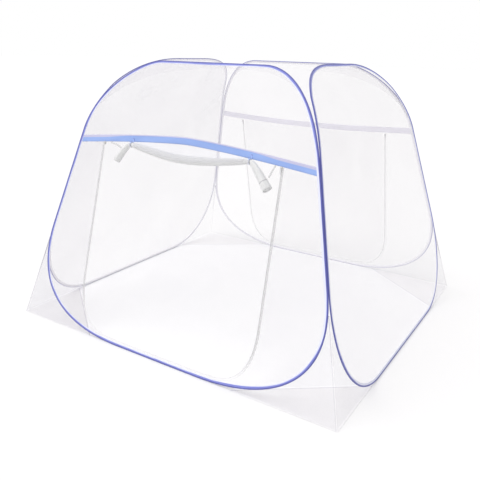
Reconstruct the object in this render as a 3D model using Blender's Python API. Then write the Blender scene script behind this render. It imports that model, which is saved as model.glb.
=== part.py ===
"""Pop-up mosquito net tent with four sprung wire hoops.

Each wall is a net stretched in its own steel hoop, whose wire runs in a sewn binding tape.
Neighbouring hoops are sewn together along the slanted corners, so the tent folds like a
carton: two opposite corners open flat while the other two close. A net roof spans the four
hoop tops, a floor sheet spans their feet, and small gusset nets fill the corners below the
round hoops. The front door is unzipped, rolled up and tied under its blue band, and the
rear door is zipped shut.

Metres, +Z up. The origin is the middle of the floor sheet, on the ground, and the front
wall faces -Y. A place on a wall is given by u, across the wall, and z, above the ground.
"""
import math

import bmesh
import bpy
import numpy as np
from mathutils import Matrix, Vector

for old_object in list(bpy.data.objects):
    bpy.data.objects.remove(old_object, do_unlink=True)

# Overall sizes: the floor sheet, the tops of the side hoops, and the small step from them
# down to the tops of the front and back hoops
base_width = 2.0
base_depth = 1.9
side_height = 1.448
hoop_top_step = 0.007
front_height = side_height - hoop_top_step

# How far a side wall leans inward at the top, the part of it from the bend near the roof,
# and how far below the top that bend starts. Front and back lean less, as the base is shallower
wall_lean = 0.388
top_bend = 0.127
bend_drop = 0.361
bend_height = front_height - bend_drop

# Neighbouring hoops are sewn together from a height near the floor to a drop below the top
join_low = 0.541
join_high_drop = 0.361
join_high = front_height - join_high_drop

# Round corners of the hoops: how far along the foot or the top rail each one starts, and
# how tightly it hugs its corner
front_low_run = 0.738
front_low_round_share = 0.906
front_high_run = 0.304
front_high_round_share = 0.69
side_low_run = 0.505
side_low_round_share = 0.727
side_high_run = 0.44
side_high_round_share = 1.161
corner_steps = 9

# Above the seam neighbouring hoops part by at least this share of the height above it
parting_share = 0.03

# Hoop: spring wire, the tube that joins its two ends, and the tape folded over both
wire_radius = 0.0016
wire_end_gap = 0.001
ferrule_bore_radius = 0.0019
ferrule_radius = 0.0024
ferrule_length = 0.040
tape_bore_radius = 0.0027
tape_radius = 0.0032
tape_width = 0.014
tape_thickness = 0.0005
wire_sides = 6

# Cloth and the clearance that sewn or touching pieces keep
net_thickness = 0.0006
cloth_thickness = 0.0008
seam_gap = 0.0003
net_columns = 8
seam_edge_gap = 0.003

# Blue bands across the front and the rear: width, how far below the top their ends are, and
# the rise in the middle
band_width = 0.042
front_band_drop = 0.411
front_band_height = front_height - front_band_drop
front_band_rise = 0.052
back_band_drop = 0.381
back_band_height = front_height - back_band_drop
back_band_rise = -0.024
band_steps = 16

# Door zips: how far inside the base's ends the zip stands at its top, at its sides and where
# its corners meet the hoop, the height at which those corners start, and its parts
zip_top_inset = 0.465
zip_side_inset = 0.450
zip_foot_inset = 0.640
zip_top_half = base_width / 2 - zip_top_inset
zip_side_half = base_width / 2 - zip_side_inset
zip_foot_half = base_width / 2 - zip_foot_inset
zip_corner_height = 0.30
zip_parting = 0.0009
coil_width = 0.0025
coil_thickness = 0.0024
zip_tape_width = 0.011
zip_tape_thickness = 0.0006

# Zip sliders and their pull tabs
slider_length = 0.016
slider_width = 0.0104
slider_plate = 0.0010
slider_clearance = 0.0004
slider_post_width = 0.0012
slider_stop_gap = 0.003
bail_width = 0.0016
bail_length = 0.0070
bail_height = 0.0037
bail_bar = 0.0010
pull_width = 0.0060
pull_length = 0.026
pull_thickness = 0.0010
pull_bar = 0.0012
pull_slot_length = 0.0046
pull_slot_width = 0.0026

# Rolled door: the ties' place inside the base's ends, the sag of the roll, its thickness, and
# its hanging ends
tie_inset = 0.643
tie_half = base_width / 2 - tie_inset
roll_tie_drop = 0.022
roll_sag = 0.034
roll_radius = 0.020
roll_pinch_radius = 0.012
roll_end_radius = 0.017
roll_steps = 20
roll_sides = 8
left_end_run = 0.075
left_end_drop = 0.080
right_end_run = 0.110
right_end_drop = 0.135
tie_width = 0.010
tie_thickness = 0.0010
toggle_length = 0.018
toggle_radius = 0.0035
rear_tie_inset = 0.635
rear_tie_half = base_width / 2 - rear_tie_inset
rear_tie_margin = 0.004
tie_steps = 12
tie_slack = 0.0012

# Floor sheet: thickness, its step back from the hoops, and the doubled corner triangles
floor_thickness = 0.0006
corner_patch_width = 0.545
corner_patch_depth = 0.420

# Roof net: how far above the sewn corners it leaves them, and how it turns over the hoops
roof_corner_rise = 0.010
roof_corner_height = join_high + roof_corner_rise
roof_turn_height = 0.10
roof_relaxing_rounds = 600

# Hinge lines of the sewn corners: how far inside the corner each one runs. A corner that
# opens turns near the outside of its tapes, and one that closes well inside them, so that
# the bowed tops of the two walls pass each other
opening_inset = 0.0019
closing_low_inset = 0.020
closing_high_inset = 0.040

hexagon_flat_share = math.cos(math.radians(30))
corner_offset = (2 * tape_radius + seam_gap) / math.sqrt(2)
zip_half_width = zip_parting + coil_width + seam_gap + zip_tape_width
leg_half_gap = cloth_thickness / 2 + seam_gap


def across(low, high, steps):
    """Evenly spaced values from low to high."""
    return [low + (high - low) * i / steps for i in range(steps + 1)]


def lean_in(z, reach):
    """Distance that a wall stands inside the base at height z; reach is half the base."""
    bend = max(0.0, z - bend_height) / (front_height - bend_height)
    return (wall_lean * z / front_height + top_bend * bend ** 2) * reach / (base_width / 2)


def lean_slope(z, reach):
    """Slope of lean_in at height z."""
    bend = max(0.0, z - bend_height) / (front_height - bend_height)
    grown = wall_lean / front_height + 2 * top_bend * bend / (front_height - bend_height)
    return grown * reach / (base_width / 2)


def conic(start, control, end, weight, steps):
    """Points of a rational quadratic curve; a larger weight draws it closer to the control."""
    points = []
    for i in range(steps + 1):
        t = i / steps
        a, b, c = (1 - t) ** 2, 2 * t * (1 - t) * weight, t * t
        total = a + b + c
        x, z = [(a * s + b * m + c * e) / total for s, m, e in zip(start, control, end)]
        points.append((x, z))
    return points


# Cross-section of the folded binding tape: b points away from the net in the wall's
# surface, n points out of the tent. It is open towards the net, which it holds
outer_leg = leg_half_gap + tape_thickness
tape_section = [
    (-tape_width, outer_leg),
    (0.0, tape_radius),
    (hexagon_flat_share * tape_radius, tape_radius / 2),
    (hexagon_flat_share * tape_radius, -tape_radius / 2),
    (0.0, -tape_radius),
    (-tape_width, -outer_leg),
    (-tape_width, -leg_half_gap),
    (0.0, -tape_bore_radius),
    (hexagon_flat_share * tape_bore_radius, -tape_bore_radius / 2),
    (hexagon_flat_share * tape_bore_radius, tape_bore_radius / 2),
    (0.0, tape_bore_radius),
    (-tape_width, leg_half_gap),
]


def round_section(radius, sides):
    """A regular ring of points with a flat side towards +b."""
    turn = math.pi / sides
    return [(radius * math.cos(turn + 2 * math.pi * i / sides),
             radius * math.sin(turn + 2 * math.pi * i / sides)) for i in range(sides)]


class Wall:
    """One wall of the tent: half its base, its distance from the middle, and its hoop."""

    def __init__(self, name, turn, half_run, stand_off, height, low, high):
        self.name = name
        self.turn = Matrix.Rotation(math.radians(turn), 3, "Z")
        self.half_run = half_run
        self.stand_off = stand_off
        self.height = height
        lean = math.atan(lean_slope(0.0, stand_off))
        rest = max(b * math.cos(lean) - n * math.sin(lean) for b, n in tape_section)
        foot = self.half_width(rest)
        low_run, low_share = low
        high_run, high_share = high
        lower = conic((foot - low_run, rest), (foot, rest), (self.half_width(join_low), join_low),
                      low_share, corner_steps)
        top_corner = self.half_width(join_high)
        top_corner -= lean_slope(join_high, half_run) * (height - join_high)
        upper = conic((self.half_width(join_high), join_high), (top_corner, height),
                      (top_corner - high_run, height), high_share, corner_steps)
        middle_height = (join_low + join_high) / 2
        middle = [(self.half_width(middle_height), middle_height)]
        upper = [(min(u, self.half_width(z) - (z - join_high) * parting_share), z) for u, z in upper]
        self.right_half = lower + middle + upper

    def half_width(self, z):
        """Half the width between the centre lines of the hoop's two sides at height z."""
        return self.half_run - lean_in(z, self.half_run) - corner_offset

    def normal(self, z):
        """Outward direction of the wall at height z."""
        slope = lean_slope(z, self.stand_off)
        return self.turn @ Vector((0.0, -1.0, slope)).normalized()

    def point(self, u, z, out=0.0):
        """World place of a point on the wall, moved outward by out."""
        flat = self.turn @ Vector((u, lean_in(z, self.stand_off) - self.stand_off, z))
        return flat + self.normal(z) * out

    def loop(self):
        """The hoop's closed centre line as (u, z), anticlockwise as seen from outside."""
        return self.right_half + [(-u, z) for u, z in reversed(self.right_half)]

    def offset_half(self, distance):
        """Right half of the hoop's line, moved away from the net by distance, in the surface."""
        lifted = [self.point(u, z) for u, z in self.right_half]
        moved = []
        last = len(lifted) - 1
        for i, (u, z) in enumerate(self.right_half):
            ahead = lifted[min(i + 1, last)] - lifted[max(i - 1, 0)]
            if i == 0:
                ahead = self.turn @ Vector((1.0, 0.0, 0.0))
            if i == last:
                ahead = self.turn @ Vector((-1.0, 0.0, 0.0))
            away = ahead.cross(self.normal(z)).normalized()
            shifted = self.turn.inverted() @ (lifted[i] + away * distance)
            moved.append((shifted.x, shifted.z))
        return moved

    def edge_at(self, z, distance):
        """Half width at height z of the line that runs at distance outside the hoop's line."""
        line = self.offset_half(distance)
        heights = np.maximum.accumulate(np.array([point[1] for point in line]))
        return float(np.interp(z, heights, np.array([point[0] for point in line])))


half_width = base_width / 2
half_depth = base_depth / 2
front_low = (front_low_run, front_low_round_share)
front_high = (front_high_run, front_high_round_share)
side_low = (side_low_run, side_low_round_share)
side_high = (side_high_run, side_high_round_share)
front = Wall("front", 0, half_width, half_depth, front_height, front_low, front_high)
right = Wall("right", 90, half_depth, half_width, side_height, side_low, side_high)
back = Wall("back", 180, half_width, half_depth, front_height, front_low, front_high)
left = Wall("left", 270, half_depth, half_width, side_height, side_low, side_high)
walls = [front, right, back, left]


def material(name, colour, roughness, metallic=0.0, alpha=1.0):
    """A plain Principled material."""
    made = bpy.data.materials.new(name)
    made.use_nodes = True
    shader = made.node_tree.nodes["Principled BSDF"]
    shader.inputs["Base Color"].default_value = (*colour, 1.0)
    shader.inputs["Roughness"].default_value = roughness
    shader.inputs["Metallic"].default_value = metallic
    shader.inputs["Alpha"].default_value = alpha
    made.diffuse_color = (*colour, alpha)
    made.roughness = roughness
    made.metallic = metallic
    return made


net_cloth = material("net_cloth", (0.90, 0.90, 0.93), 0.8, alpha=0.35)
floor_cloth = material("floor_cloth", (0.86, 0.86, 0.88), 0.7, alpha=0.6)
blue_tape = material("blue_tape", (0.115, 0.125, 0.46), 0.75)
blue_band = material("blue_band", (0.32, 0.42, 0.80), 0.7)
white_tape = material("white_tape", (0.78, 0.78, 0.80), 0.75)
zip_coil_plastic = material("zip_coil_plastic", (0.82, 0.82, 0.84), 0.4)
zip_metal = material("zip_metal", (0.70, 0.70, 0.72), 0.3, metallic=0.9)
spring_steel = material("spring_steel", (0.45, 0.46, 0.48), 0.35, metallic=1.0)
rolled_net = material("rolled_net", (0.80, 0.81, 0.82), 0.85)


def add_object(name, vertices, faces, finish, smooth_angle=None):
    """Make one closed mesh object whose faces point outwards."""
    mesh = bpy.data.meshes.new(name)
    mesh.from_pydata([tuple(v) for v in vertices], [], faces)
    shell = bmesh.new()
    shell.from_mesh(mesh)
    bmesh.ops.recalc_face_normals(shell, faces=shell.faces)
    shell.to_mesh(mesh)
    shell.free()
    if smooth_angle is not None:
        mesh.shade_smooth()
        mesh.set_sharp_from_angle(angle=math.radians(smooth_angle))
    mesh.materials.append(finish)
    made = bpy.data.objects.new(name, mesh)
    bpy.context.scene.collection.objects.link(made)
    return made


def sweep(name, wall, path, section, finish, closed, out=0.0, smooth_angle=40):
    """Carry a section of (b, n) points along a path of (u, z) points on a wall."""
    places = [wall.point(u, z, out) for u, z in path]
    count = len(places)
    vertices = []
    for i, (u, z) in enumerate(path):
        if closed:
            ahead = places[(i + 1) % count] - places[i - 1]
        else:
            ahead = places[min(i + 1, count - 1)] - places[max(i - 1, 0)]
        outward = wall.normal(z)
        away = ahead.cross(outward).normalized()
        vertices += [places[i] + away * b + outward * n for b, n in section]
    sides = len(section)
    faces = []
    for i in range(count if closed else count - 1):
        for j in range(sides):
            here, beside = i * sides, ((i + 1) % count) * sides
            k = (j + 1) % sides
            faces.append((here + j, beside + j, beside + k, here + k))
    if not closed:
        faces.append(tuple(range(sides)))
        faces.append(tuple(range((count - 1) * sides, count * sides)))
    return add_object(name, vertices, faces, finish, smooth_angle)


def sheet(name, wall, rows, thickness, finish, out=0.0):
    """A thin closed sheet in a wall, from rows of (u, z) points of equal length."""
    height, width = len(rows), len(rows[0])
    vertices = []
    for side in (1, -1):
        for row in rows:
            vertices += [wall.point(u, z, out + side * thickness / 2) for u, z in row]
    return add_object(name, vertices, grid_shell(height, width), finish)


def grid_shell(height, width):
    """Faces of a closed shell made of two grids, one behind the other, and a rim."""
    behind = height * width
    faces = []
    for i in range(height - 1):
        for j in range(width - 1):
            a = i * width + j
            faces.append((a, a + 1, a + width + 1, a + width))
            faces.append((behind + a, behind + a + width, behind + a + width + 1, behind + a + 1))
    rim = list(range(width))
    rim += [i * width + width - 1 for i in range(1, height)]
    rim += [(height - 1) * width + j for j in range(width - 2, -1, -1)]
    rim += [i * width for i in range(height - 2, 0, -1)]
    for i, a in enumerate(rim):
        b = rim[(i + 1) % len(rim)]
        faces.append((a, b, behind + b, behind + a))
    return faces


def prism(name, outline, low, high, finish):
    """An upright plate with a flat top and bottom over an outline of (x, y) points."""
    count = len(outline)
    vertices = [(x, y, z) for z in (low, high) for x, y in outline]
    faces = [tuple(range(count)), tuple(range(count, 2 * count))]
    for i in range(count):
        j = (i + 1) % count
        faces.append((i, j, count + j, count + i))
    return add_object(name, vertices, faces, finish)


# The hoops: wire, the ferrule that joins its ends at the foot, and the binding tape
for wall in walls:
    half_end = wire_end_gap / 2
    foot_height = wall.right_half[0][1]
    wire_path = [(half_end, foot_height)] + wall.loop() + [(-half_end, foot_height)]
    sweep(wall.name + "_hoop_wire", wall, wire_path, round_section(wire_radius, wire_sides),
          spring_steel, closed=False)
    ring = round_section(ferrule_radius, wire_sides)
    bore = round_section(ferrule_bore_radius, wire_sides)
    vertices = []
    for u in (-ferrule_length / 2, ferrule_length / 2):
        for section in (ring, bore):
            ahead = wall.turn @ Vector((1.0, 0.0, 0.0))
            outward = wall.normal(foot_height)
            away = ahead.cross(outward)
            centre = wall.point(u, foot_height)
            vertices += [centre + away * b + outward * n for b, n in section]
    faces = []
    for j in range(wire_sides):
        k = (j + 1) % wire_sides
        near_bore, far_ring, far_bore = wire_sides, 2 * wire_sides, 3 * wire_sides
        faces.append((j, k, far_ring + k, far_ring + j))
        faces.append((near_bore + j, far_bore + j, far_bore + k, near_bore + k))
        faces.append((j, near_bore + j, near_bore + k, k))
        faces.append((far_ring + j, far_ring + k, far_bore + k, far_bore + j))
    add_object(wall.name + "_hoop_ferrule", vertices, faces, spring_steel, smooth_angle=65)
    sweep(wall.name + "_hoop_tape", wall, wall.loop(), tape_section, blue_tape, closed=True)

# Where the nets end, between the two legs of the tape, just short of the wire
net_edge = -(wire_radius + 3 * seam_gap)


def hoop_net_edge(wall, z):
    """Half width of a wall's net at height z."""
    return wall.edge_at(z, net_edge)


# The side walls are one net each
for wall in (right, left):
    inner = wall.offset_half(net_edge)
    rows = [[(-u, z), (u, z)] for u, z in inner]
    sheet(wall.name + "_net", wall, rows, net_thickness, net_cloth)


def band_middle(wall, u):
    """Height of the middle of a wall's band at u."""
    end_height, rise = (front_band_height, front_band_rise)
    if wall is back:
        end_height, rise = (back_band_height, back_band_rise)
    end_half = hoop_net_edge(wall, end_height)
    return end_height + rise * (1 - (u / end_half) ** 2)


# The blue band runs right across and is held in the hoop's tape at both ends
for wall in (front, back):
    rows = []
    for rise in (-band_width / 2, 0.0, band_width / 2):
        end = hoop_net_edge(wall, band_middle(wall, zip_side_half) + rise)
        row = []
        for share in across(-1.0, 1.0, band_steps):
            row.append((share * end, band_middle(wall, share * end) + rise))
        for i in (0, -1):
            row[i] = (math.copysign(hoop_net_edge(wall, row[i][1]), row[i][0]), row[i][1])
        rows.append(row)
    high_edge = rows[-1]
    sheet(wall.name + "_band", wall, rows, cloth_thickness, blue_band)

    # The upper net fills the hoop above the band; its rows straighten towards the top rail
    inner = wall.offset_half(net_edge)
    first_height = high_edge[-1][1] + seam_gap
    levels = [(hoop_net_edge(wall, first_height), first_height)]
    levels += [(u, z) for u, z in inner if z > first_height + band_width / 2]
    rows = []
    for half, z in levels:
        fade = (levels[-1][1] - z) / (levels[-1][1] - first_height)
        row = []
        for side_share in across(-1.0, 1.0, band_steps):
            u = side_share * half
            end_half = levels[0][0]
            hump = band_middle(wall, u * end_half / half) - band_middle(wall, end_half)
            row.append((u, z + hump * fade))
        rows.append(row)
    sheet(wall.name + "_upper_net", wall, rows, net_thickness, net_cloth)


def band_foot(wall, u):
    """Height just under a wall's band at u."""
    return band_middle(wall, u) - band_width / 2 - seam_gap


def zip_half(wall):
    """Right half of a door zip's line as (u, z), from the middle of the threshold up."""
    foot_line = wall.offset_half(-(tape_width + seam_gap + zip_half_width))
    points = [(0.0, foot_line[0][1])]
    points += [(u, z) for u, z in foot_line if z < join_low / 2 and u < zip_foot_half]
    heights = [z for u, z in foot_line if u < zip_side_half and z < join_low / 2]
    halves = [u for u, z in foot_line if u < zip_side_half and z < join_low / 2]
    start = (zip_foot_half, float(np.interp(zip_foot_half, halves, heights)))
    rise = (start[1] - points[-1][1]) / (start[0] - points[-1][0])
    corner = (zip_side_half, start[1] + rise * (zip_side_half - start[0]))
    side = conic(start, corner, (zip_side_half, zip_corner_height), 1.0, corner_steps // 2)
    top = min(band_foot(wall, zip_top_half + reach) for reach in (-zip_half_width, zip_half_width))
    return points + side + [(zip_top_half, top - zip_parting)]


def zip_offset(wall, distance):
    """The zip's right half moved outwards, away from the door, by distance."""
    line = zip_half(wall)
    lifted = [wall.point(u, z) for u, z in line]
    moved = []
    last = len(line) - 1
    for i, (u, z) in enumerate(line):
        ahead = lifted[min(i + 1, last)] - lifted[max(i - 1, 0)]
        if i == 0:
            ahead = wall.turn @ Vector((1.0, 0.0, 0.0))
        away = ahead.cross(wall.normal(z)).normalized()
        shifted = wall.turn.inverted() @ (lifted[i] + away * distance)
        moved.append((shifted.x, shifted.z))
    return moved


def zip_edge_at(wall, z, distance):
    """Half width at height z of the line that runs at distance outside the zip's line."""
    line = zip_offset(wall, distance)
    heights = np.maximum.accumulate(np.array([point[1] for point in line]))
    return float(np.interp(z, heights, np.array([point[0] for point in line])))


def zip_loop(wall):
    """The whole zip, from the top of its left branch round under the door to the right."""
    half = zip_half(wall)
    return [(-u, z) for u, z in reversed(half[1:])] + half[1:]


def parked_height(wall):
    """Height of the middle of a slider that is parked at the top of its zip."""
    return zip_half(wall)[-1][1] - slider_stop_gap - slider_length / 2


def strip(inner, outer, thickness):
    """Section of a flat strip between two distances from the zip's line."""
    half = thickness / 2
    return [(inner, -half), (outer, -half), (outer, half), (inner, half)]


coil_inner = zip_parting
coil_outer = zip_parting + coil_width
zip_tape_inner = coil_outer + seam_gap
zip_tape_outer = zip_tape_inner + zip_tape_width
wall_coil = strip(coil_inner, coil_outer, coil_thickness)
wall_tape = strip(zip_tape_inner, zip_tape_outer, zip_tape_thickness)
door_coil = strip(-coil_outer, -coil_inner, coil_thickness)
door_tape = strip(-zip_tape_outer, -zip_tape_inner, zip_tape_thickness)

# Each door's zip: its wall half stays on the side nets, and the rear door keeps its own
for wall in (front, back):
    sweep(wall.name + "_zip_coil", wall, zip_loop(wall), wall_coil, zip_coil_plastic, closed=False)
    sweep(wall.name + "_zip_tape", wall, zip_loop(wall), wall_tape, white_tape, closed=False)
door_loop = zip_loop(back)
slider_foot = parked_height(back) - slider_length / 2 - slider_stop_gap
slider_share = (slider_foot - zip_corner_height) / (door_loop[-1][1] - zip_corner_height)
door_end = (zip_side_half + (zip_top_half - zip_side_half) * slider_share, slider_foot)
door_loop[0], door_loop[-1] = (-door_end[0], door_end[1]), door_end
sweep("back_door_zip_coil", back, door_loop, door_coil, zip_coil_plastic, closed=False)
sweep("back_door_zip_tape", back, door_loop, door_tape, white_tape, closed=False)

# Nets between the zip and the hoop, on both sides of each door
for wall in (front, back):
    outside = zip_tape_outer + seam_gap
    meets = [z for u, z in zip_offset(wall, outside) if hoop_net_edge(wall, z) - u > zip_tape_width]
    first = meets[0]
    end_height = band_foot(wall, hoop_net_edge(wall, band_foot(wall, zip_side_half)))
    levels = [z for u, z in zip_offset(wall, outside) if first <= z < zip_corner_height]
    levels += across(zip_corner_height, end_height, 4)
    for side, side_name in ((-1, "left"), (1, "right")):
        rows = []
        for z in levels:
            row = []
            for share in across(0.0, 1.0, 3):
                zip_side = zip_edge_at(wall, z, outside)
                u = zip_side + (hoop_net_edge(wall, z) - zip_side) * share
                lift = (band_foot(wall, u) - end_height) * ((z - first) / (end_height - first)) ** 6
                row.append((side * u, z + lift))
            rows.append(row)
        if wall is back:
            side_name = "right" if side_name == "left" else "left"
        sheet(wall.name + "_" + side_name + "_net", wall, rows, net_thickness, net_cloth)

# The rear door's net, inside its half of the zip
inside = -(zip_tape_outer + seam_gap)
door_line = zip_offset(back, inside)
door_top = band_foot(back, zip_top_half)
rows = []
for u, z in door_line[1:-1] + [(zip_edge_at(back, door_top, inside), door_top)]:
    fade = (z - door_line[1][1]) / (door_top - door_line[1][1])
    row = []
    for share in across(-1.0, 1.0, net_columns):
        lift = (band_foot(back, u * share) - door_top) * fade ** 6
        row.append((u * share, z + lift))
    rows.append(row)
sheet("back_door_net", back, rows, net_thickness, net_cloth)

# Gusset nets close the triangle between a hoop's round lower corner, the sewn corner and
# the floor. Each is named for its wall and the side of the tent that it is on
gusset_foot = floor_thickness + seam_gap
gusset_names = {
    "front": ("front_left_gusset", "front_right_gusset"),
    "right": ("right_front_gusset", "right_back_gusset"),
    "back": ("back_right_gusset", "back_left_gusset"),
    "left": ("left_back_gusset", "left_front_gusset"),
}
for wall in walls:
    outside = tape_radius + seam_gap
    line = [(u, z) for u, z in wall.offset_half(outside) if gusset_foot < z < join_low]
    levels = [gusset_foot] + [z for u, z in line]
    for side, name in zip((-1, 1), gusset_names[wall.name]):
        rows = []
        for z in levels:
            hoop_side = wall.edge_at(z, outside)
            seam_side = wall.half_run - lean_in(z, wall.half_run) - seam_edge_gap
            if seam_side - hoop_side > seam_edge_gap:
                rows.append([(side * hoop_side, z), (side * seam_side, z)])
        sheet(name, wall, rows, net_thickness, net_cloth)

# Floor sheet with its corners cut across, and the doubled triangles sewn into them. The
# sheet ends just inside the hoops' feet, and the triangles reach the full rectangle
floor_step = hexagon_flat_share * tape_radius + tape_radius / 2 + seam_gap
sheet_half_width = half_width - floor_step
sheet_half_depth = half_depth - floor_step
patch_slope = corner_patch_depth / corner_patch_width
patch_gap = seam_gap * math.hypot(1.0, patch_slope)
cut_x = half_width - corner_patch_width + floor_step / patch_slope - patch_gap / patch_slope
cut_y = half_depth - corner_patch_depth + floor_step * patch_slope - patch_gap
floor_outline = [(cut_x, -sheet_half_depth), (sheet_half_width, -cut_y),
                 (sheet_half_width, cut_y), (cut_x, sheet_half_depth),
                 (-cut_x, sheet_half_depth), (-sheet_half_width, cut_y),
                 (-sheet_half_width, -cut_y), (-cut_x, -sheet_half_depth)]
prism("floor_sheet", floor_outline, 0.0, floor_thickness, floor_cloth)
for name, x_side, y_side in (("floor_corner_front_left", -1, -1), ("floor_corner_front_right", 1, -1),
                             ("floor_corner_back_right", 1, 1), ("floor_corner_back_left", -1, 1)):
    triangle = [(x_side * (half_width - corner_patch_width), y_side * half_depth),
                (x_side * half_width, y_side * half_depth),
                (x_side * half_width, y_side * (half_depth - corner_patch_depth))]
    prism(name, triangle, 0.0, floor_thickness, floor_cloth)


def roof_edge(wall):
    """World points along a hoop's top, on its roof side, from its right corner to its left."""
    edge_radius = tape_radius + seam_gap + net_thickness / 2
    heights = [z for u, z in wall.right_half]
    halves = [u for u, z in wall.right_half]
    start = float(np.interp(roof_corner_height, heights, halves))
    half = [(start, roof_corner_height)] + [(u, z) for u, z in wall.right_half if z > roof_corner_height]
    path = half + [(-u, z) for u, z in reversed(half)]
    places = [wall.point(u, z) for u, z in path]
    edge = []
    for i, (u, z) in enumerate(path):
        ahead = places[min(i + 1, len(path) - 1)] - places[max(i - 1, 0)]
        outward = wall.normal(z)
        away = ahead.cross(outward).normalized()
        turned = min(1.0, (z - roof_corner_height) / roof_turn_height)
        edge.append(places[i] + (away * turned - outward).normalized() * edge_radius)
    return np.array([tuple(p) for p in edge])


# Roof net: a stretched skin between the four hoop tops. Each inner point is moved to the
# mean of its four neighbours until the skin is at rest
near, far = roof_edge(front)[::-1], roof_edge(back)
west, east = roof_edge(left), roof_edge(right)[::-1]
share_y = np.linspace(0.0, 1.0, len(east))[:, None, None]
roof = (1 - share_y) * near[None, :, :] + share_y * far[None, :, :]
roof[1:-1, 0, :] = west[1:-1]
roof[1:-1, -1, :] = east[1:-1]
roof[0, 0] = (near[0] + west[0]) / 2
roof[0, -1] = (near[-1] + east[0]) / 2
roof[-1, 0] = (far[0] + west[-1]) / 2
roof[-1, -1] = (far[-1] + east[-1]) / 2
for _ in range(roof_relaxing_rounds):
    roof[1:-1, 1:-1] = (roof[:-2, 1:-1] + roof[2:, 1:-1] + roof[1:-1, :-2] + roof[1:-1, 2:]) / 4
slope_x = np.gradient(roof, axis=1)
slope_y = np.gradient(roof, axis=0)
upward = np.cross(slope_x, slope_y)
upward /= np.linalg.norm(upward, axis=2, keepdims=True)
vertices = []
for side in (1, -1):
    vertices += (roof + upward * side * net_thickness / 2).reshape(-1, 3).tolist()
add_object("roof_net", vertices, grid_shell(len(east), len(near)), net_cloth)


def extrude(name, outline, low, high, axis, finish):
    """A prism of a closed outline, drawn out along a local axis: 0 across, 1 along, 2 out."""
    vertices = []
    for end in (low, high):
        for point in outline:
            place = list(point)
            place.insert(axis, end)
            vertices.append(place)
    count = len(outline)
    faces = [tuple(range(count)), tuple(range(count, 2 * count))]
    faces += [(i, (i + 1) % count, count + (i + 1) % count, count + i) for i in range(count)]
    return add_object(name, vertices, faces, finish)


def slider(wall, side, side_name):
    """A zip slider parked at the top of one branch of a wall's zip, and its pull tab."""
    name = wall.name + "_" + side_name + "_zip_slider"
    low = (zip_side_half, zip_corner_height)
    high = zip_half(wall)[-1]
    z = parked_height(wall)
    u = low[0] + (high[0] - low[0]) * (z - low[1]) / (high[1] - low[1])
    centre = wall.point(side * u, z)
    along = (centre - wall.point(side * low[0], low[1])).normalized()
    outward = wall.normal(0.0)
    sideways = along.cross(outward).normalized()
    frame = Matrix((sideways, along, outward)).transposed().to_4x4()
    frame.translation = centre
    inner_face = coil_thickness / 2 + slider_clearance
    outer_face = inner_face + slider_plate
    lip = zip_tape_thickness / 2 + slider_clearance
    half = slider_width / 2
    lip_from = coil_outer + slider_clearance
    post = slider_post_width / 2
    quarter = [(post, inner_face), (lip_from, inner_face), (lip_from, lip), (half, lip), (half, outer_face)]
    upper = quarter + [(-b, n) for b, n in reversed(quarter)]
    outline = upper + [(-b, -n) for b, n in upper]
    body = extrude(name, outline, -slider_length / 2, slider_length / 2, 1, zip_metal)
    body.matrix_world = frame

    # The bail is an arch over the slider, sunk into its outer plate
    foot = outer_face - slider_plate / 2
    top = outer_face + bail_height
    eye = top - bail_bar
    end = bail_length / 2
    arch = [(-end, foot), (-end, top), (end, top), (end, foot), (end - bail_bar, foot),
            (end - bail_bar, eye), (bail_bar - end, eye), (bail_bar - end, foot)]
    bail = extrude(name + "_bail", arch, -bail_width / 2, bail_width / 2, 0, zip_metal)
    bail.matrix_world = frame
    bail.hide_render = True
    bail.display_type = "WIRE"
    joined = body.modifiers.new("bail", "BOOLEAN")
    joined.operation = "UNION"
    joined.solver = "EXACT"
    joined.object = bail

    # The pull tab's cross bar lies in the eye of the bail, and its slot lets the bail
    # through, so that the tab can swing from hanging down to lying upwards
    bar = pull_bar / 2
    tab_half, slot_half = pull_width / 2, pull_slot_width / 2
    tab_end, slot_end = -pull_length, -bar - pull_slot_length
    plate = [(-tab_half, bar), (tab_half, bar), (tab_half, tab_end), (-tab_half, tab_end)]
    slot = [(-slot_half, -bar), (slot_half, -bar), (slot_half, slot_end), (-slot_half, slot_end)]
    vertices = [(b, a, n) for n in (-pull_thickness / 2, pull_thickness / 2) for b, a in plate + slot]
    faces = []
    for i in range(4):
        j = (i + 1) % 4
        faces += [(i, j, 4 + j, 4 + i), (8 + i, 8 + j, 12 + j, 12 + i)]
        faces += [(i, j, 8 + j, 8 + i), (4 + i, 4 + j, 12 + j, 12 + i)]
    pull = add_object(wall.name + "_" + side_name + "_zip_pull", vertices, faces, zip_metal)
    pull.matrix_world = frame @ Matrix.Translation((0.0, 0.0, (outer_face + eye) / 2))


slider(front, -1, "left")
slider(front, 1, "right")
slider(back, 1, "left")
slider(back, -1, "right")


def roll_path():
    """Centre line of the rolled door as (u, z, radius), from its left end to its right."""
    height = band_foot(front, tie_half) - roll_tie_drop
    inner_half = tie_half - tie_width
    points = []
    for step in range(roll_steps + 1):
        share = step / roll_steps
        u = -inner_half + 2 * inner_half * share
        bow = math.sin(math.pi * share)
        arch = band_foot(front, u) - band_foot(front, inner_half)
        z = height + arch - (arch + roll_sag) * bow ** 0.8
        radius = roll_pinch_radius + (roll_radius - roll_pinch_radius) * bow ** 0.5
        points.append((u, z, radius))
    left_end = [(-tie_half, height, roll_pinch_radius)]
    right_end = [(tie_half, height, roll_pinch_radius)]
    for share in across(0.0, 1.0, 4):
        radius = roll_pinch_radius + (roll_end_radius - roll_pinch_radius) * share
        start = tie_half + tie_width
        left_drop, right_drop = left_end_drop * share ** 1.3, right_end_drop * share ** 1.2
        left_end.insert(0, (-start - left_end_run * share, height - left_drop, radius))
        right_end.append((start + right_end_run * share, height - right_drop, radius))
    return left_end + points + right_end


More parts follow.
